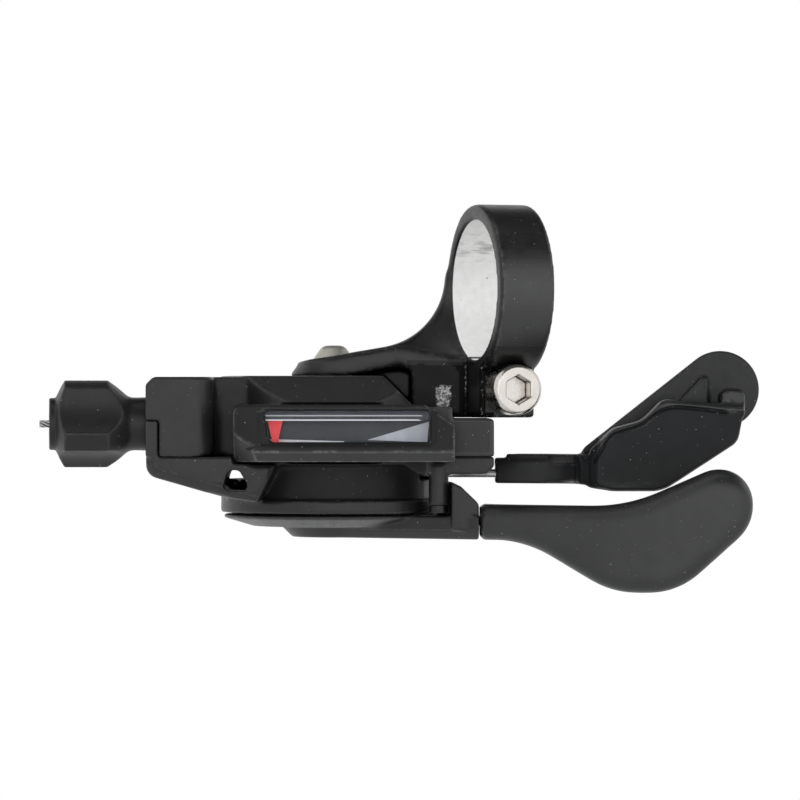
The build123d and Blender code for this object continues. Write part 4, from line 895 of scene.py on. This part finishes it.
def seen_directly(tree):
    """1 for camera, glossy and transmission rays, 0 for the rest."""
    path = tree.nodes.new("ShaderNodeLightPath")
    value = path.outputs["Is Camera Ray"]
    for name in ("Is Glossy Ray", "Is Transmission Ray"):
        either = tree.nodes.new("ShaderNodeMath")
        either.operation = "MAXIMUM"
        tree.links.new(value, either.inputs[0])
        tree.links.new(path.outputs[name], either.inputs[1])
        value = either.outputs["Value"]
    return value


# The world lights a little cooler and weaker than the white that the camera sees
world = bpy.data.worlds.new("studio")
scene.world = world
world.use_nodes = True
tree = world.node_tree
tree.nodes.clear()
output = tree.nodes.new("ShaderNodeOutputWorld")
room = add_node(tree, "ShaderNodeBackground", Color=(0.97, 0.985, 1.0, 1.0), Strength=0.95)
white = add_node(tree, "ShaderNodeBackground", Color=(1.0, 1.0, 1.0, 1.0), Strength=1.0)
surface = mixed(tree, seen_directly(tree), room.outputs["Background"], white.outputs["Background"])
tree.links.new(surface, output.inputs["Surface"])


def softbox(name, place, size, power, colour=(1.0, 1.0, 1.0)):
    """A rectangular lamp turned to the object."""
    data = bpy.data.lights.new(name, "AREA")
    data.shape = "RECTANGLE"
    data.size, data.size_y = size
    data.energy = power
    data.color = colour
    lamp = bpy.data.objects.new(name, data)
    lamp.location = place
    lamp.rotation_euler = (MIDDLE - Vector(place)).to_track_quat("-Z", "Y").to_euler()
    scene.collection.objects.link(lamp)


softbox("front_light", (0.0, -1.4, 0.1), (1.2, 0.9), 2.2)
softbox("side_light", (0.72, -0.78, 0.05), (1.0, 1.0), 1.1, (0.93, 0.96, 1.0))


def staged(name, build, material):
    """A mesh that belongs to the studio."""
    mesh = bpy.data.meshes.new(name)
    bm = bmesh.new()
    build(bm)
    bm.to_mesh(mesh)
    bm.free()
    mesh.materials.append(material)
    thing = bpy.data.objects.new(name, mesh)
    scene.collection.objects.link(thing)
    return thing


# The floor is pale paper that fades into the white background
FLOOR_RADIUS, FADE_START, FADE_END = 0.4, 0.08, 0.36
LEAST_WHITE = 0.4
paper = bpy.data.materials.new("paper")
paper.use_nodes = True
tree = paper.node_tree
tree.nodes.clear()
output = tree.nodes.new("ShaderNodeOutputMaterial")
sheet = add_node(tree, "ShaderNodeBsdfDiffuse", Color=(0.88, 0.88, 0.88, 1.0))
glow = tree.nodes.new("ShaderNodeEmission")
coords = tree.nodes.new("ShaderNodeTexCoord")
distance = tree.nodes.new("ShaderNodeVectorMath")
distance.operation = "LENGTH"
fade = add_node(
    tree, "ShaderNodeMapRange", From_Min=FADE_START, From_Max=FADE_END, To_Min=LEAST_WHITE, To_Max=1.0
)
fade.interpolation_type = "SMOOTHSTEP"
tree.links.new(coords.outputs["Object"], distance.inputs[0])
tree.links.new(distance.outputs["Value"], fade.inputs["Value"])
shown = mixed(tree, fade.outputs["Result"], sheet.outputs["BSDF"], glow.outputs["Emission"])
surface = mixed(tree, seen_directly(tree), sheet.outputs["BSDF"], shown)
tree.links.new(surface, output.inputs["Surface"])
floor = staged(
    "floor", lambda bm: bmesh.ops.create_circle(bm, cap_ends=True, segments=96, radius=FLOOR_RADIUS), paper
)
floor.location = (-0.016, 0.0, -0.115)

felt = bpy.data.materials.new("felt")
felt.use_nodes = True
felt_shader = felt.node_tree.nodes["Principled BSDF"]
felt_shader.inputs["Base Color"].default_value = (0.04, 0.04, 0.04, 1.0)
felt_shader.inputs["Roughness"].default_value = 0.9
FLAG_DISTANCE = 1.3


def dark_flag(name, turn, rise, size):
    """A dark cloth turned to the object that shades part of the studio; it isn't in the picture."""
    turn, rise = math.radians(turn), math.radians(rise)
    flat = math.cos(rise)
    way = Vector((math.sin(turn) * flat, -math.cos(turn) * flat, math.sin(rise)))
    flag = staged(
        name, lambda bm: bmesh.ops.create_grid(bm, x_segments=1, y_segments=1, size=0.5), felt
    )
    flag.location = MIDDLE + way * FLAG_DISTANCE
    flag.rotation_euler = way.to_track_quat("Z", "Y").to_euler()
    flag.scale = (*size, 1.0)
    flag.visible_camera = False
    flag.visible_diffuse = False
    flag.visible_shadow = False


dark_flag("front_high_flag", 34.0, 58.0, (1.9, 1.0))
dark_flag("back_high_flag", 180.0, 62.0, (2.2, 1.2))
